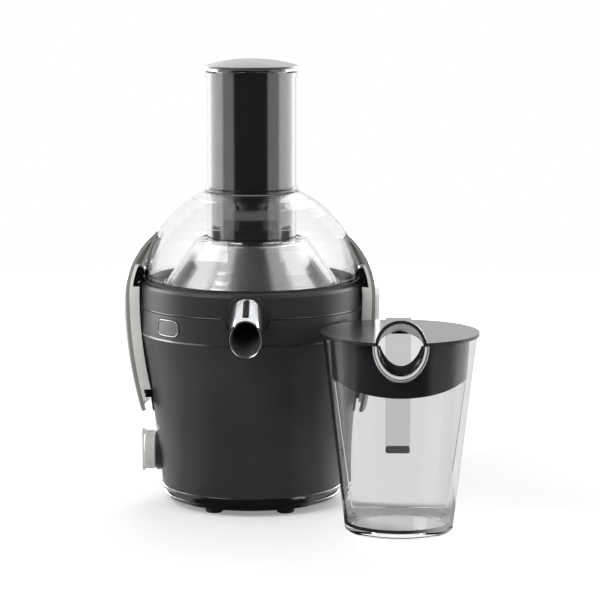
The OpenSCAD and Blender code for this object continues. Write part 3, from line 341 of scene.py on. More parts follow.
@dataclass(frozen=True)
class ClearPlastic(Finish):
    """Clear moulded plastic, seen through, with faint flow waves."""

    bend: float = 1.3
    waves: float = 30.0
    wave_depth: float = 0.00003
    smudges: float = 70.0

    def sockets(self, tree: Tree) -> Sockets:
        """A clear body with faint waves and a few smudges.

        Args:
            tree: the material's node tree.

        Returns:
            Numbers, colours and Values by the names of the shader's sockets.
        """
        place = tree.place()
        wave = tree.noise(place, self.waves, 1.0, 0.4)
        smudge = tree.noise(place, self.smudges, 4.0, 0.6).ramp(0.55, 0.85)
        return {
            "Base Color": (*self.colour, 1.0),
            "Roughness": smudge * 0.03 + self.roughness,
            "Normal": tree.bump(wave, self.wave_depth),
            "Transmission Weight": 1.0,
            "IOR": self.bend,
        }


@dataclass(frozen=True)
class PartPlated(Finish):
    """Satin plastic that is plated below a height."""

    plate_z: float = 0.0
    plate: Colour = (0.3, 0.3, 0.31)
    plate_roughness: float = 0.1
    soft: float = 0.0004
    skin: float = 2200.0
    clouds: float = 18.0

    def sockets(self, tree: Tree) -> Sockets:
        """Plated below the height, and a pebbled satin above it.

        Args:
            tree: the material's node tree.

        Returns:
            Numbers, colours and Values by the names of the shader's sockets.
        """
        place = tree.place()
        low = 1.0 - tree.axes(place)[2].ramp(self.plate_z - self.soft, self.plate_z + self.soft)
        pebble = tree.noise(place, self.skin, 3.0, 0.6)
        cloud = tree.noise(place, self.clouds, 3.0, 0.55)
        crown = tree.blend(cloud.ramp(0.3, 0.7), self.colour, shades(self.colour, 1.15))
        return {
            "Base Color": tree.blend(low, crown, self.plate),
            "Roughness": cloud * 0.06 + self.roughness - low * (self.roughness - self.plate_roughness),
            "Metallic": low,
            "Normal": tree.bump(pebble, 0.00001),
        }


@dataclass(frozen=True)
class Metal(Finish):
    """Bare or plated metal whose polishing marks run one way."""

    grain: Grain = Grain.EVEN
    marks: float = 0.0004
    depth: float = 0.000004
    draw: float = 0.002
    clouds: float = 22.0
    mark_dull: float = 0.08
    wear: float = 0.5

    def grain_place(self, tree: Tree) -> Value:
        """The point that the polishing marks are read at, drawn out along them.

        Args:
            tree: the material's node tree.

        Returns:
            The point, with the turn about the upright axis squeezed where the marks run round it.
        """
        place = tree.place()
        if self.grain is Grain.EVEN:
            return place
        x, y, z = tree.axes(place)
        reach = (x * x + y * y) ** 0.5
        return tree.vector(reach, z, y.turn_from(x) * self.draw)

    def sockets(self, tree: Tree) -> Sockets:
        """Fine drawn marks, with shine that clouds over a little.

        Args:
            tree: the material's node tree.

        Returns:
            Numbers, colours and Values by the names of the shader's sockets.
        """
        line = tree.noise(self.grain_place(tree), 1.0 / self.marks, 2.0, 0.6)
        smear = tree.noise(tree.place(), self.clouds, 3.0, 0.55).ramp(0.45, 0.75) * self.wear
        middle = self.roughness - self.mark_dull / 2
        return {
            "Base Color": tree.blend(line.ramp(0.35, 0.65), shades(self.colour, 0.93), self.colour),
            "Roughness": line * self.mark_dull + smear * 0.04 + middle,
            "Normal": tree.bump(line, self.depth),
            "Metallic": 1.0,
        }


@dataclass(frozen=True)
class Rubber(Finish):
    """Black rubber with a powdery bloom."""

    skin: float = 2600.0
    blooms: float = 85.0

    def sockets(self, tree: Tree) -> Sockets:
        """A dull skin, pale where it has bloomed.

        Args:
            tree: the material's node tree.

        Returns:
            Numbers, colours and Values by the names of the shader's sockets.
        """
        place = tree.place()
        skin = tree.noise(place, self.skin, 2.0, 0.6)
        bloom = tree.noise(place, self.blooms, 5.0, 0.65).ramp(0.48, 0.8)
        return {
            "Base Color": tree.blend(bloom, self.colour, shades(self.colour, 1.9, 0.01)),
            "Roughness": bloom * 0.1 + self.roughness,
            "Normal": tree.bump(skin, 0.00002),
        }


@dataclass(frozen=True)
class Laminations(Finish):
    """A stack of thin steel sheets under varnish."""

    sheet: float = 0.0005
    varnish: Colour = (0.02, 0.018, 0.016)
    stains: float = 130.0

    def sockets(self, tree: Tree) -> Sockets:
        """One fine line between each sheet and the next.

        Args:
            tree: the material's node tree.

        Returns:
            Numbers, colours and Values by the names of the shader's sockets.
        """
        place = tree.place()
        height = tree.axes(place)[2]
        gap = (height.wrapped(self.sheet) / self.sheet).ramp(0.72, 0.95)
        stain = tree.noise(place, self.stains, 4.0, 0.6)
        return {
            "Base Color": tree.blend(gap * 0.7 + stain * 0.25, self.colour, self.varnish),
            "Roughness": stain * 0.15 + self.roughness,
            "Metallic": 0.75 - gap * 0.6,
            "Normal": tree.bump(1.0 - gap, 0.00006),
        }


@dataclass(frozen=True)
class WoundCopper(Finish):
    """Turns of enamelled copper wire side by side."""

    wire: float = 0.0007
    varnish: Colour = (0.09, 0.03, 0.01)
    runs: float = 320.0

    def sockets(self, tree: Tree) -> Sockets:
        """Round turns one above another, with a little varnish between them.

        Args:
            tree: the material's node tree.

        Returns:
            Numbers, colours and Values by the names of the shader's sockets.
        """
        place = tree.place()
        height = tree.axes(place)[2]
        turn = (height * (math.pi / self.wire)).sine().size()
        run = tree.noise(place, self.runs, 3.0, 0.6)
        return {
            "Base Color": tree.blend(turn.ramp(0.1, 0.6), self.varnish, self.colour),
            "Roughness": run * 0.18 + self.roughness,
            "Metallic": 0.85,
            "Normal": tree.bump(turn, 0.0001),
        }


class Finishes:
    """The object's finishes, each made once and shared by its pieces."""

    def __init__(self) -> None:
        """Starts with no finish made."""
        self.made: dict[str, bpy.types.Material] = {}

    def get(self, finish: Finish) -> bpy.types.Material:
        """The material of a finish.

        Args:
            finish: the finish wanted.

        Returns:
            Its material, made at the first call.
        """
        if finish.name not in self.made:
            self.made[finish.name] = finish.build()
        return self.made[finish.name]

    def dress(self, finish: Finish, *nodes: str) -> None:
        """Gives a finish to frame nodes.

        Args:
            finish: the finish.
            nodes: the frame nodes that take it.
        """
        for name in nodes:
            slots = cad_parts[name].data.materials
            slots.clear()
            slots.append(self.get(finish))
        LOG.info("%s: %s", finish.name, ", ".join(nodes))


CHARCOAL = MouldedPlastic("charcoal_housing", (0.031, 0.030, 0.032), 0.34, shine=0.45)
BAND = MouldedPlastic("charcoal_band", (0.028, 0.027, 0.029), 0.32, shine=0.45)
SEAT_BLACK = MouldedPlastic("black_inner_plastic", (0.010, 0.010, 0.011), 0.4)
# Black gloss for the real lid catches and clamp hooks; on the tube step, the port line and the hood and lid
# edges it is painted shade, black rings standing for dark lines of shade.
BLACK_GLOSS_AND_PAINTED_SHADE = GlossPlastic("black_gloss_and_painted_shade", (0.004, 0.004, 0.005), 0.06)
PIANO_BLACK = GlossPlastic("black_piano_gloss", (0.004, 0.004, 0.005), 0.1, 1.0, 2.2)
PUSHER_BLACK = GlossPlastic("pusher_black", (0.004, 0.004, 0.005), 0.1, 1.0, 2.7)
TAUPE = PartPlated("taupe_cap", (0.045, 0.040, 0.038), 0.36, 0.4208, (0.3, 0.3, 0.31), 0.08)
BUTTON_GREY = GlossPlastic("button_grey", (0.1, 0.1, 0.105), 0.3)
HANDLE_SMOKE = ClearPlastic("smoked_handle", (0.76, 0.76, 0.77), 0.04)
HANDLE_GREY = GlossPlastic("handle_end_grey", (0.11, 0.11, 0.115), 0.3)
# Pale opaque colour on the jug's port bead and outline: a painted highlight for the bright lines of the
# clear bead.
PAINTED_HIGHLIGHT_BEAD = GlossPlastic("bead_painted_highlight", (0.62, 0.63, 0.64), 0.08)
# Pale opaque colour on the tube foot ring: a painted highlight for the light line where the clear tube
# meets the dome.
PAINTED_HIGHLIGHT_STEP = GlossPlastic("step_painted_highlight", (0.3, 0.3, 0.31), 0.12)
RIM_CHARCOAL = MouldedPlastic("charcoal_rim", (0.028, 0.027, 0.029), 0.4, shine=0.3)
LID_GREY = GlossPlastic("jug_lid_grey", (0.02, 0.02, 0.023), 0.2)
NATURAL_NYLON = MouldedPlastic("natural_nylon", (0.62, 0.59, 0.52), 0.5)
CLEAR_LID = ClearPlastic("clear_lid", (1.0, 1.0, 1.0), 0.0, 1.42)
CLEAR_JUG = ClearPlastic("clear_jug", (1.0, 1.0, 1.0), 0.0, 1.42)
BRIGHT = Metal("bright_plate", (0.83, 0.84, 0.86), 0.08, depth=0.000001)
CONE_STEEL = Metal("polished_cone_steel", (0.78, 0.78, 0.79), 0.16, Grain.ROUND, depth=0.000003)
SIEVE_STEEL = Metal("etched_sieve_steel", (0.7, 0.71, 0.72), 0.28, Grain.ROUND)
CLAMP_GREY = MouldedPlastic("clamp_satin_grey", (0.27, 0.265, 0.255), 0.38)
CLAMP_SILVER = MouldedPlastic("clamp_pale_silver", (0.74, 0.735, 0.71), 0.3, shine=0.6)
LINER = PartPlated("liner_plate", (0.004, 0.004, 0.005), 0.2, 0.1895, (0.55, 0.55, 0.56), 0.34)
TRIM_SILVER = Metal("trim_dark_silver", (0.42, 0.42, 0.43), 0.24)
EDGE_DARK = Metal("dark_polished_edge", (0.16, 0.16, 0.165), 0.2)
KNOB_SILVER = MouldedPlastic("knob_silver", (0.56, 0.56, 0.54), 0.3, shine=0.6)
GROUND_STEEL = Metal("ground_steel", (0.56, 0.57, 0.58), 0.22, Grain.ROUND)
CAST_METAL = Metal("cast_aluminium", (0.45, 0.46, 0.47), 0.5, marks=0.0011, depth=0.00006)
RUBBER = Rubber("black_rubber", (0.012, 0.012, 0.012), 0.72)
STACK = Laminations("motor_laminations", (0.22, 0.23, 0.24), 0.42)
COPPER = WoundCopper("wound_copper", (0.55, 0.22, 0.07), 0.32)


@dataclass
class Juicer:
    """The machine itself: what each of its nodes is finished in."""

    finishes: Finishes

    def dress(self) -> None:
        """Dresses every frame node of the machine."""
        give = self.finishes.dress
        give(CHARCOAL, "motor_housing")
        give(BAND, "control_band", "pulp_bowl", "knob_collar")
        give(RIM_CHARCOAL, "bowl_rim")
        give(SEAT_BLACK, "bowl_seat", "bottom_cover", "cord_winder", "interlock_switches", "brush_gear")
        give(SEAT_BLACK, "button_bezel", "clamp_brackets", "knob_spindle")
        give(SEAT_BLACK, "drive_coupling", "sieve_base", "juice_collector")
        give(PIANO_BLACK, "base_plate", "base_lip")
        give(BRIGHT, "spout_sleeve")
        give(CLAMP_SILVER, "left_clamp_arm", "right_clamp_arm")
        give(TRIM_SILVER, "trim_ring")
        give(LINER, "spout_liner")
        give(RUBBER, "rubber_feet", "cord_inlet", "rubber_mounts", "shaft_seal", "lid_gasket")
        give(STACK, "motor_stator", "armature")
        give(COPPER, "field_coils", "commutator")
        give(CAST_METAL, "upper_bracket", "lower_bracket")
        give(GROUND_STEEL, "bearings", "tie_bolts", "motor_shaft", "clamp_pins")
        give(NATURAL_NYLON, "speed_switch", "button_switch", "cooling_fan")
        give(CONE_STEEL, "collector_cone")
        give(SIEVE_STEEL, "sieve_mesh", "grater_disc")
        give(CLEAR_LID, "cone_jacket", "lid_dome", "feed_tube")
        give(BLACK_GLOSS_AND_PAINTED_SHADE, "lid_catches", "left_clamp_hook", "right_clamp_hook")
        give(PUSHER_BLACK, "pusher_body")
        give(TAUPE, "pusher_cap")
        give(CLAMP_GREY, "left_clamp_skin", "right_clamp_skin")
        give(KNOB_SILVER, "speed_knob")
        give(BUTTON_GREY, "button_cap")


@dataclass
class Jug:
    """The clear jug and its lid."""

    finishes: Finishes

    def dress(self) -> None:
        """Dresses the jug's frame nodes."""
        self.finishes.dress(CLEAR_JUG, "jug_body", "froth_separator")
        self.finishes.dress(HANDLE_SMOKE, "jug_handle")
        self.finishes.dress(LID_GREY, "jug_lid")


@dataclass
class Bench:
    """Shapes the small pieces and hands them to the bodies that carry them."""

    finishes: Finishes
    smooth: float = math.radians(35.0)
    section_steps: int = 12

    def clear(self) -> None:
        """Leaves nothing selected."""
        bpy.ops.object.select_all(action="DESELECT")

    def take(self, piece: bpy.types.Object) -> None:
        """Selects one piece and nothing else.

        Args:
            piece: the piece.
        """
        self.clear()
        piece.select_set(True)
        bpy.context.view_layer.objects.active = piece

    def settle(self, name: str) -> bpy.types.Object:
        """Names the new piece and puts its place into its mesh.

        Args:
            name: the piece's name.

        Returns:
            The piece.
        """
        bpy.ops.object.transform_apply(location=True, rotation=True, scale=True)
        bpy.context.object.name = name
        return bpy.context.object

    def ring(
        self, name: str, major: float, minor: float, tilt: float = 0.0, steps: int = 96
    ) -> bpy.types.Object:
        """Adds a round ring at the origin.

        Args:
            name: the piece's name.
            major: the ring's radius at its middle, in millimetres.
            minor: the radius of its section, in millimetres.
            tilt: how far it leans about the X axis, in radians.
            steps: how many sections it has.

        Returns:
            The ring.
        """
        self.clear()
        bpy.ops.mesh.primitive_torus_add(
            rotation=(tilt, 0.0, 0.0),
            major_radius=major * MM,
            minor_radius=minor * MM,
            major_segments=steps,
            minor_segments=self.section_steps,
        )
        return self.settle(name)

    def choose(self, piece: bpy.types.Object, wanted: Callable[[Vector], bool]) -> None:
        """Opens a piece in edit mode with the points selected that pass a test of their place.

        Args:
            piece: the piece.
            wanted: the test, which takes a point in metres.
        """
        self.take(piece)
        bpy.ops.object.mode_set(mode="EDIT")
        bpy.ops.mesh.select_mode(type="VERT")
        bpy.ops.mesh.select_all(action="DESELECT")
        bpy.ops.object.mode_set(mode="OBJECT")
        for point in piece.data.vertices:
            point.select = wanted(point.co)
        bpy.ops.object.mode_set(mode="EDIT")

    def stretch(self, piece: bpy.types.Object, share: float) -> None:
        """Draws a piece out upwards and downwards from the origin.

        Args:
            piece: the piece.
            share: its new height as a share of its old one.
        """
        self.choose(piece, lambda point: True)
        bpy.ops.transform.resize(value=(1.0, 1.0, share), center_override=(0.0, 0.0, 0.0))
        bpy.ops.object.mode_set(mode="OBJECT")

    def part_at(self, piece: bpy.types.Object, reach: float) -> None:
        """Moves a piece's right half to the right and its left half to the left.

        Args:
            piece: the piece, with its middle at the origin.
            reach: how far each half goes, in millimetres.
        """
        for side in (1.0, -1.0):
            self.choose(piece, lambda point: point.x * side > TINY)
            bpy.ops.transform.translate(value=(side * reach * MM, 0.0, 0.0))
            bpy.ops.object.mode_set(mode="OBJECT")

    def cut(self, piece: bpy.types.Object, place: Place, normal: Place, close: bool = True) -> None:
        """Cuts away what lies on a plane's far side.

        Args:
            piece: the piece.
            place: a point of the plane, in millimetres.
            normal: the way from the plane to what is kept.
            close: whether the cut is filled.
        """
        self.choose(piece, lambda point: True)
        bpy.ops.mesh.bisect(
            plane_co=[part * MM for part in place], plane_no=normal, use_fill=close, clear_inner=True
        )
        bpy.ops.object.mode_set(mode="OBJECT")

    def open_front(self, ring: bpy.types.Object, half: float) -> None:
        """Takes a length out of a flat ring's front and closes its two ends.

        Args:
            ring: the ring, round the origin.
            half: half of the width that is taken out, in millimetres.
        """
        self.choose(ring, lambda point: abs(point.x) < half * MM and point.y < 0.0)
        bpy.ops.mesh.delete(type="VERT")
        bpy.ops.mesh.select_all(action="SELECT")
        bpy.ops.mesh.fill_holes(sides=self.section_steps)
        bpy.ops.object.mode_set(mode="OBJECT")

    def bow(self, piece: bpy.types.Object, radius: float) -> None:
        """Bends a piece that faces -Y round an upright axis that lies behind it.

        Args:
            piece: the piece, with its middle at the origin.
            radius: the bend's radius, in millimetres.
        """
        self.take(piece)
        across = [point.co.x for point in piece.data.vertices]
        bend = piece.modifiers.new("bow", "SIMPLE_DEFORM")
        bend.deform_method, bend.deform_axis = "BEND", "Z"
        bend.angle = (max(across) - min(across)) / (radius * MM)
        bpy.ops.object.modifier_apply(modifier=bend.name)

    def shell(self, piece: bpy.types.Object, thickness: float) -> None:
        """Gives an open sheet a wall on its inner side.

        Args:
            piece: the sheet.
            thickness: the wall's thickness, in millimetres.
        """
        self.take(piece)
        wall = piece.modifiers.new("wall", "SOLIDIFY")
        wall.thickness, wall.offset, wall.use_even_offset = thickness * MM, -1.0, True
        bpy.ops.object.modifier_apply(modifier=wall.name)

    def round_edges(self, piece: bpy.types.Object, width: float, steps: int) -> None:
        """Rounds a piece's sharp edges.

        Args:
            piece: the piece.
            width: how far each edge is taken back, in millimetres.
            steps: how many faces it is rounded with.
        """
        self.take(piece)
        edge = piece.modifiers.new("edge", "BEVEL")
        edge.width, edge.segments, edge.limit_method = width * MM, steps, "ANGLE"
        bpy.ops.object.modifier_apply(modifier=edge.name)

    def finish(
        self,
        piece: bpy.types.Object,
        finish: Finish,
        body: str,
        slot: str,
        place: Place = (0.0, 0.0, 0.0),
        tilt: float = 0.0,
        turn: float = 0.0,
    ) -> bpy.types.Object:
        """Puts a piece in its place, dresses it and hands it to its body.

        Args:
            piece: the piece.
            finish: its finish.
            body: the body that carries it.
            slot: the name of a material slot; not used.
            place: where it goes, in millimetres.
            tilt: how far it leans about the X axis, in radians.
            turn: how far it is turned about the upright axis through the origin, in radians.

        Returns:
            The finished piece.
        """
        self.take(piece)
        spot = Matrix.Translation([part * MM for part in place]) @ Matrix.Rotation(tilt, 4, "X")
        piece.matrix_world = Matrix.Rotation(turn, 4, "Z") @ spot @ piece.matrix_world
        bpy.ops.object.transform_apply(location=True, rotation=True, scale=True)
        bpy.ops.object.mode_set(mode="EDIT")
        bpy.ops.mesh.select_all(action="SELECT")
        bpy.ops.mesh.normals_make_consistent(inside=False)
        bpy.ops.object.mode_set(mode="OBJECT")
        bpy.ops.object.shade_smooth_by_angle(angle=self.smooth)
        piece.data.materials.clear()
        piece.data.materials.append(self.finishes.get(finish))
        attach(piece, body)
        LOG.info("%s on %s", piece.name, body)
        return piece


@dataclass
class MachineTrim:
    """The fine lines and small fittings of the machine."""

    bench: Bench
    mouth_y: float = -140.0
    mouth_z: float = 179.0
    mouth_r: float = 15.0
    lip_section: float = 0.75
    spout_slope: float = math.radians(30.0)
    button_turn: float = math.radians(-45.0)
    button_z: float = 180.25
    button_w: float = 29.4
    button_h: float = 15.0
    button_section: float = 0.4
    button_proud: float = 0.3
    button_steps: int = 64
    band_r: float = 108.0
    crown_z: float = 302.7
    tube_r: float = 43.0
    step_out: float = 0.4
    step_rise: float = 3.2
    step_section: float = 0.55
    tube_foot_out: float = 1.6
    tube_foot_sink: float = 0.6
    tube_foot_section: float = 0.8
    seam_z: float = 193.3
    seam_in: float = 0.2
    seam_section: float = 0.4
    seam_steps: int = 192
    notch_half: float = 24.0
    base_r: float = 85.0
    base_top_z: float = 10.6
    base_edge_in: float = 0.55
    base_edge_sink: float = 0.4
    base_edge_section: float = 0.6
    foot_r: float = 87.6
    foot_z: float = 18.0
    foot_edge_in: float = 0.35
    foot_edge_rise: float = 0.2
    foot_edge_section: float = 0.45
    foot_steps: int = 144
    screw_r: float = 3.2
    screw_t: float = 1.6
    screw_z: float = 6.0
    screw_corner: float = 0.5
    screw_crown: float = 0.35
    screw_ring: float = 1.2
    socket_wall: float = 0.1
    socket_depth: float = 0.9
    screw_pitch: float = 40.0
    screw_count: int = 4
    screw_steps: int = 24

    def build(self) -> None:
        """Makes every piece."""
        self.spout_lip()
        self.button_line()
        self.dome_lines()
        self.seam_line()
        self.base_lines()
        self.base_screws()

    def spout_lip(self) -> None:
        """The bright rounded lip round the spout's mouth."""
        lip = self.bench.ring("spout_lip", self.mouth_r, self.lip_section, math.pi / 2)
        self.bench.stretch(lip, 1.0 / math.cos(self.spout_slope))
        place = (0.0, self.mouth_y + self.lip_section, self.mouth_z)
        self.bench.finish(lip, BRIGHT, "bowl", "bright_trim", place)

    def button_line(self) -> None:
        """The bright line round the button."""
        half = self.button_h / 2
        line = self.bench.ring("button_line", half, self.button_section, math.pi / 2, self.button_steps)
        self.bench.part_at(line, self.button_w / 2 - half)
        self.bench.bow(line, self.band_r)
        place = (0.0, -self.band_r - self.button_proud, self.button_z)
        self.bench.finish(line, TRIM_SILVER, "housing", "bright_trim", place, turn=self.button_turn)

    def dome_lines(self) -> None:
        """Where the feed tube stands on the dome: a black ring of painted shade for the seam's dark line,
        and a pale ring of painted highlight for its light line.
        """
        step = self.bench.ring("tube_step", self.tube_r + self.step_out, self.step_section)
        place = (0.0, 0.0, self.crown_z + self.step_rise)
        self.bench.finish(step, BLACK_GLOSS_AND_PAINTED_SHADE, "lid", "clear_plastic", place)
        foot = self.bench.ring("tube_foot", self.tube_r + self.tube_foot_out, self.tube_foot_section)
        place = (0.0, 0.0, self.crown_z - self.tube_foot_sink)
        self.bench.finish(foot, PAINTED_HIGHLIGHT_STEP, "lid", "clear_plastic", place)

    def seam_line(self) -> None:
        """The polished lower edge of the bowl's rim, broken where the spout's collar passes."""
        radius = self.band_r - self.seam_in
        line = self.bench.ring("rim_seam", radius, self.seam_section, steps=self.seam_steps)
        self.bench.open_front(line, self.notch_half)
        self.bench.finish(line, EDGE_DARK, "bowl", "gloss_black", (0.0, 0.0, self.seam_z))

    def base_lines(self) -> None:
        """The polished edges of the base disc and of the housing's foot."""
        disc_r, disc_z = self.base_r - self.base_edge_in, self.base_top_z - self.base_edge_sink
        self.edge_line("base_edge", disc_r, self.base_edge_section, disc_z)
        foot_r, foot_z = self.foot_r - self.foot_edge_in, self.foot_z + self.foot_edge_rise
        self.edge_line("housing_edge", foot_r, self.foot_edge_section, foot_z)

    def edge_line(self, name: str, radius: float, section: float, height: float) -> None:
        """Lays one polished line round the housing.

        Args:
            name: the line's name.
            radius: its radius at its middle, in millimetres.
            section: the radius of its section, in millimetres.
            height: how high it lies, in millimetres.
        """
        line = self.bench.ring(name, radius, section, steps=self.foot_steps)
        self.bench.finish(line, EDGE_DARK, "housing", "gloss_black", (0.0, 0.0, height))

    def base_screws(self) -> None:
        """The screws that hold the base disc, seen from underneath."""
        self.bench.clear()
        bpy.ops.mesh.primitive_cylinder_add(
            vertices=self.screw_steps, radius=self.screw_r * MM, depth=self.screw_t * MM
        )
        screws = [self.bench.settle("base_screw_0")]
        self.bench.choose(screws[0], lambda point: point.z < 0.0)
        bpy.ops.mesh.inset(thickness=self.screw_corner * MM, depth=self.screw_crown * MM)
        bpy.ops.mesh.inset(thickness=self.screw_ring * MM, depth=0.0)
        bpy.ops.mesh.inset(thickness=self.socket_wall * MM, depth=-self.socket_depth * MM)
        bpy.ops.object.mode_set(mode="OBJECT")
        for number in range(1, self.screw_count):
            self.bench.take(screws[0])
            bpy.ops.object.duplicate(linked=False)
            screws.append(self.bench.settle(f"base_screw_{number}"))
        place = (self.screw_pitch, 0.0, self.screw_z)
        for number, screw in enumerate(screws):
            turn = math.tau * (number + 0.5) / self.screw_count
            self.bench.finish(screw, GROUND_STEEL, "housing", "bearing_steel", place, turn=turn)


@dataclass
class JugTrim:
    """The jug's bead, the lid's edges and deep skirt, and the handle's end."""

    bench: Bench
    jug_x: float = 141.5
    jug_y: float = -121.0
    rim_z: float = 182.0
    rim_r: float = 71.5
    wall_lean: float = math.atan(21.5 / 182.0)
    port_r: float = 20.4
    port_drop: float = 25.6
    port_proud: float = 0.9
    port_sink: float = 0.2
    line_out: float = 0.5
    line_section: float = 0.55
    bead_out: float = 2.4
    bead_section: float = 1.35
    outline_out: float = 4.9
    outline_section: float = 0.8
    lid_r: float = 73.5
    lid_z: float = 182.3
    lid_edge_in: float = 0.75
    lid_edge_rise: float = 0.5
    lid_edge_section: float = 0.7
    lid_edge_clear: float = 1.8
    hood_out: float = 1.6
    hood_section: float = 1.3
    hood_tilt: float = math.radians(14.0)
    skirt_low_z: float = 133.5
    skirt_low_r: float = 61.4
    skirt_top_z: float = 150.0
    skirt_top_r: float = 62.75
    skirt_t: float = 1.6
    skirt_slope: float = math.radians(16.1)
    skirt_front: float = 28.6
    lid_steps: int = 144
    bar_in: float = 2.0
    bar_rise: float = 3.6
    bar_short: float = 0.6
    bar_t: float = 4.8
    bar_h: float = 7.4
    bar_edge: float = 2.2

    def build(self) -> None:
        """Makes every piece."""
        self.port_bead()
        self.hood_edge()
        self.lid_edge()
        self.lid_skirt()
        self.handle_end()

    def port_bead(self) -> None:
        """A black line of painted shade, then a pale bead and a pale line of painted highlight, each in a U
        round the spout's opening.
        """
        lines = (
            ("port_line", self.line_out, self.line_section, BLACK_GLOSS_AND_PAINTED_SHADE),
            ("port_bead", self.bead_out, self.bead_section, PAINTED_HIGHLIGHT_BEAD),
            ("port_outline", self.outline_out, self.outline_section, PAINTED_HIGHLIGHT_BEAD),
        )
        place = (self.jug_x, self.jug_y - self.rim_r - self.port_proud, self.rim_z - self.port_sink)
        for name, out, section, finish in lines:
            bead = self.bench.ring(name, self.port_r + out, section, math.pi / 2)
            self.bench.stretch(bead, self.port_drop / self.port_r)
            self.bench.cut(bead, (0.0, 0.0, 0.0), (0.0, 0.0, -1.0))
            self.bench.bow(bead, self.rim_r)
            self.bench.finish(bead, finish, "jug", "clear_plastic", place, tilt=self.wall_lean)

    def hood_edge(self) -> None:
        """The dark rounded front edge of the lid's hood: a black gloss bead that paints the dark outline of
        shade there, while its gloss catches real highlights.
        """
        edge = self.bench.ring("hood_edge", self.port_r + self.hood_out, self.hood_section, math.pi / 2)
        self.bench.stretch(edge, 1.0 / math.cos(self.hood_tilt))
        self.bench.cut(edge, (0.0, 0.0, 0.0), (0.0, 0.0, 1.0))
        self.bench.bow(edge, self.lid_r)
        place = (self.jug_x, self.jug_y - self.lid_r + self.hood_section, self.lid_z)
        self.bench.finish(edge, BLACK_GLOSS_AND_PAINTED_SHADE, "jug_cover", "jug_lid_grey", place)

    def lid_edge(self) -> None:
        """The dark bead under the lid's edge: black gloss that paints the dark line of shade under the
        edge, while its gloss catches real highlights.
        """
        radius = self.lid_r - self.lid_edge_in
        edge = self.bench.ring("lid_edge", radius, self.lid_edge_section, steps=self.lid_steps)
        self.bench.open_front(edge, self.port_r + self.lid_edge_clear)
        place = (self.jug_x, self.jug_y, self.lid_z + self.lid_edge_rise)
        self.bench.finish(edge, BLACK_GLOSS_AND_PAINTED_SHADE, "jug_cover", "jug_lid_grey", place)

    def lid_skirt(self) -> None:
        """The skirt's deep front, whose lower edge climbs towards the back."""
        self.bench.clear()
        middle = (self.skirt_low_z + self.skirt_top_z) / 2
        bpy.ops.mesh.primitive_cone_add(
            vertices=self.lid_steps,
            radius1=self.skirt_low_r * MM,
            radius2=self.skirt_top_r * MM,
            depth=(self.skirt_top_z - self.skirt_low_z) * MM,
            end_fill_type="NOTHING",
            location=(self.jug_x * MM, self.jug_y * MM, middle * MM),
        )
        skirt = self.bench.settle("lid_skirt")
        low = (self.jug_x, self.jug_y - self.skirt_low_r, self.skirt_low_z)
        slope = (0.0, -math.sin(self.skirt_slope), math.cos(self.skirt_slope))
        self.bench.cut(skirt, low, slope, False)
        back = (self.jug_x, self.jug_y - self.skirt_front, 0.0)
        self.bench.cut(skirt, back, (0.0, -1.0, 0.0), False)
        self.bench.shell(skirt, self.skirt_t)
        self.bench.finish(skirt, LID_GREY, "jug_cover", "jug_lid_grey")

    def handle_end(self) -> None:
        """The grey rounded bar that closes the handle's free end."""
        low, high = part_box("jug_handle")
        self.bench.clear()
        bpy.ops.mesh.primitive_cube_add(
            size=1.0,
            location=((low.x + high.x) / 2, high.y - self.bar_in * MM, low.z + self.bar_rise * MM),
            scale=(high.x - low.x - self.bar_short * MM, self.bar_t * MM, self.bar_h * MM),
        )
        bar = self.bench.settle("handle_end")
        self.bench.round_edges(bar, self.bar_edge, 4)
        self.bench.finish(bar, HANDLE_GREY, "jug", "gloss_black")


@dataclass(frozen=True)
class Lamp:
    """A square soft lamp: its name, place, side and watts, and whether it is a rim lamp.

    A rim lamp is only seen in the shine of the pieces that aren't clear.
    """

    name: str
    place: Place
    size: float
    power: float
    rim: bool = False


LAMPS = (
    Lamp("key_lamp", (-1.5, -1.4, 1.7), 1.4, 30.0),
    Lamp("fill_lamp", (1.7, -1.2, 1.3), 1.2, 7.0),
    Lamp("back_lamp", (0.2, 1.6, 1.7), 1.6, 18.0),
    Lamp("left_lamp", (-1.1, 1.8, 0.7), 1.3, 90.0, True),
    Lamp("right_lamp", (1.2, 1.8, 0.7), 1.3, 90.0, True),
    Lamp("left_side_lamp", (-1.9, 0.5, 0.6), 1.3, 42.0, True),
    Lamp("right_side_lamp", (1.9, 0.7, 0.6), 1.3, 34.0, True),
)


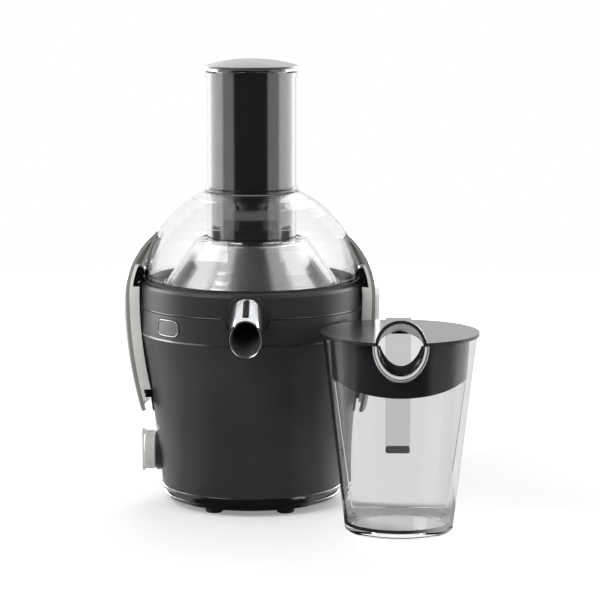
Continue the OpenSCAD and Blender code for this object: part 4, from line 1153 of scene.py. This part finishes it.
@dataclass
class Studio:
    """Floor, lamps, surroundings and camera."""

    floor_r: float = 1.8
    floor_steps: int = 96
    floor_shade: float = 0.8
    fade_from: float = 0.35
    fade_to: float = 0.8
    near_glow: float = 0.25
    far_glow: float = 0.8
    floor_mirror: float = 0.8
    dark_half: float = math.radians(47.0)
    grey_half: float = math.radians(82.0)
    soft: float = math.radians(5.0)
    dark: float = 0.03
    grey: float = 0.42
    soft_light: float = 0.62
    turn: float = math.radians(1.4)
    reach: float = 2.4
    aside: float = 0.0465
    height: float = 0.541
    pitch: float = math.radians(8.17)
    lens: float = 150.0
    sensor: float = 36.0
    sight: float = 60.0
    aim: Place = (0.05, -0.03, 0.2)
    clear_nodes: tuple[str, ...] = (
        "lid_dome", "feed_tube", "cone_jacket", "jug_body", "jug_handle", "froth_separator",
    )

    def build(self) -> None:
        """Makes the whole studio."""
        self.camera()
        self.floor()
        self.surroundings()
        for lamp in LAMPS:
            self.light(lamp)
        for name in self.clear_nodes:
            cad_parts[name].visible_shadow = False
        bpy.context.scene.view_settings.view_transform = "Standard"

    def hang(self, name: str, data: bpy.types.ID) -> bpy.types.Object:
        """Puts a camera or a lamp into the scene.

        Args:
            name: its name.
            data: the camera or light that it shows.

        Returns:
            Its object, at the origin.
        """
        made = bpy.data.objects.new(name, data)
        bpy.context.scene.collection.objects.link(made)
        return made

    def camera(self) -> None:
        """Puts the camera in front of the machine, a little to its right and above it."""
        data = bpy.data.cameras.new("camera")
        data.lens, data.sensor_width, data.clip_end = self.lens, self.sensor, self.sight
        camera = self.hang("camera", data)
        away = Vector((math.sin(self.turn), -math.cos(self.turn), 0.0))
        side = Vector((math.cos(self.turn), math.sin(self.turn), 0.0))
        camera.location = away * self.reach + side * self.aside + Vector((0.0, 0.0, self.height))
        camera.rotation_euler = (math.pi / 2 - self.pitch, 0.0, self.turn)
        bpy.context.scene.camera = camera

    def floor(self) -> None:
        """Lays a pale round floor that keeps the object's shadow and fades out to white."""
        bpy.ops.object.select_all(action="DESELECT")
        bpy.ops.mesh.primitive_circle_add(
            vertices=self.floor_steps, radius=self.floor_r, fill_type="NGON"
        )
        floor = bpy.context.object
        floor.name = "floor"
        material = bpy.data.materials.new("pale_floor")
        material.use_nodes = True
        tree = Tree(material.node_tree)
        x, y, _ = tree.axes(tree.place())
        far = ((x * x + y * y) ** 0.5).ramp(self.fade_from, self.fade_to * self.floor_r)
        shade = (self.floor_shade, self.floor_shade, self.floor_shade, 1.0)
        pale = tree.node("ShaderNodeBsdfDiffuse", {}, {"Color": shade})
        strength = self.seen(tree) * (far * self.far_glow + self.near_glow)
        glow = tree.node("ShaderNodeEmission", {}, {"Strength": strength})
        lit = tree.node("ShaderNodeAddShader", {}, {0: pale, 1: glow})
        mirrored = tree.node("ShaderNodeEmission", {}, {"Strength": self.room(x, y) * self.floor_mirror})
        glossy = tree.node("ShaderNodeLightPath", {}, {}, "Is Glossy Ray")
        shader = tree.node("ShaderNodeMixShader", {}, {0: glossy, 1: lit, 2: mirrored})
        tree.end("ShaderNodeOutputMaterial", shader)
        floor.data.materials.append(material)

    def seen(self, tree: Tree) -> Value:
        """1 for a ray that is looked along, straight, mirrored or through something clear.

        Args:
            tree: the tree that wants it.

        Returns:
            The mask.
        """
        rays = [
            tree.node("ShaderNodeLightPath", {}, {}, name)
            for name in ("Is Camera Ray", "Is Glossy Ray", "Is Transmission Ray")
        ]
        return (rays[0] + rays[1] + rays[2]).above(0.5)

    def room(self, x: Value, y: Value) -> Value:
        """How bright the room is in each direction: white behind, grey at the sides, dark in front.

        Args:
            x: how far to the right.
            y: how far back.

        Returns:
            The brightness, from 0 to 1.
        """
        turned = (x.turn_from(y * -1.0)).size()
        to_grey = turned.ramp(self.dark_half - self.soft, self.dark_half + self.soft)
        to_white = turned.ramp(self.grey_half - self.soft, self.grey_half + self.soft)
        return to_grey * (self.grey - self.dark) + to_white * (1.0 - self.grey) + self.dark

    def surroundings(self) -> None:
        """A white room, open and dark behind the camera, for what shines and what is seen through."""
        world = bpy.data.worlds.new("studio")
        bpy.context.scene.world = world
        world.use_nodes = True
        tree = Tree(world.node_tree)
        x, y, _ = tree.axes(tree.node("ShaderNodeTexCoord", {}, {}, "Generated"))
        camera = tree.node("ShaderNodeLightPath", {}, {}, "Is Camera Ray")
        looked = self.seen(tree)
        level = looked * (self.room(x, y) * (1.0 - camera) + camera) + (1.0 - looked) * self.soft_light
        shade = tree.node("ShaderNodeBackground", {}, {"Color": (1.0, 1.0, 1.0, 1.0), "Strength": level})
        tree.end("ShaderNodeOutputWorld", shade)

    def without_clear(self) -> bpy.types.Collection:
        """What a rim lamp leaves out.

        Returns:
            A collection that holds the clear pieces as excluded ones, made at the first call.
        """
        if "clear_pieces" not in bpy.data.collections:
            aside = bpy.data.collections.new("clear_pieces")
            for name in self.clear_nodes:
                aside.objects.link(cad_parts[name])
            for entry in aside.collection_objects:
                entry.light_linking.link_state = "EXCLUDE"
        return bpy.data.collections["clear_pieces"]

    def light(self, lamp: Lamp) -> None:
        """Hangs one lamp and aims it at the object.

        Args:
            lamp: the lamp.
        """
        data = bpy.data.lights.new(lamp.name, "AREA")
        data.size, data.energy = lamp.size, lamp.power
        hung = self.hang(lamp.name, data)
        hung.location = lamp.place
        if lamp.rim:
            hung.visible_diffuse = False
            hung.light_linking.receiver_collection = self.without_clear()
        way = Vector(self.aim) - Vector(lamp.place)
        hung.rotation_euler = way.to_track_quat("-Z", "Y").to_euler()


def main() -> None:
    """Builds the studio and dresses every piece."""
    logging.basicConfig(level=logging.INFO, format="%(message)s")
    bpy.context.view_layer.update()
    finishes = Finishes()
    Studio().build()
    Juicer(finishes).dress()
    Jug(finishes).dress()
    bench = Bench(finishes)
    MachineTrim(bench).build()
    JugTrim(bench).build()


if __name__ == "__main__":
    main()
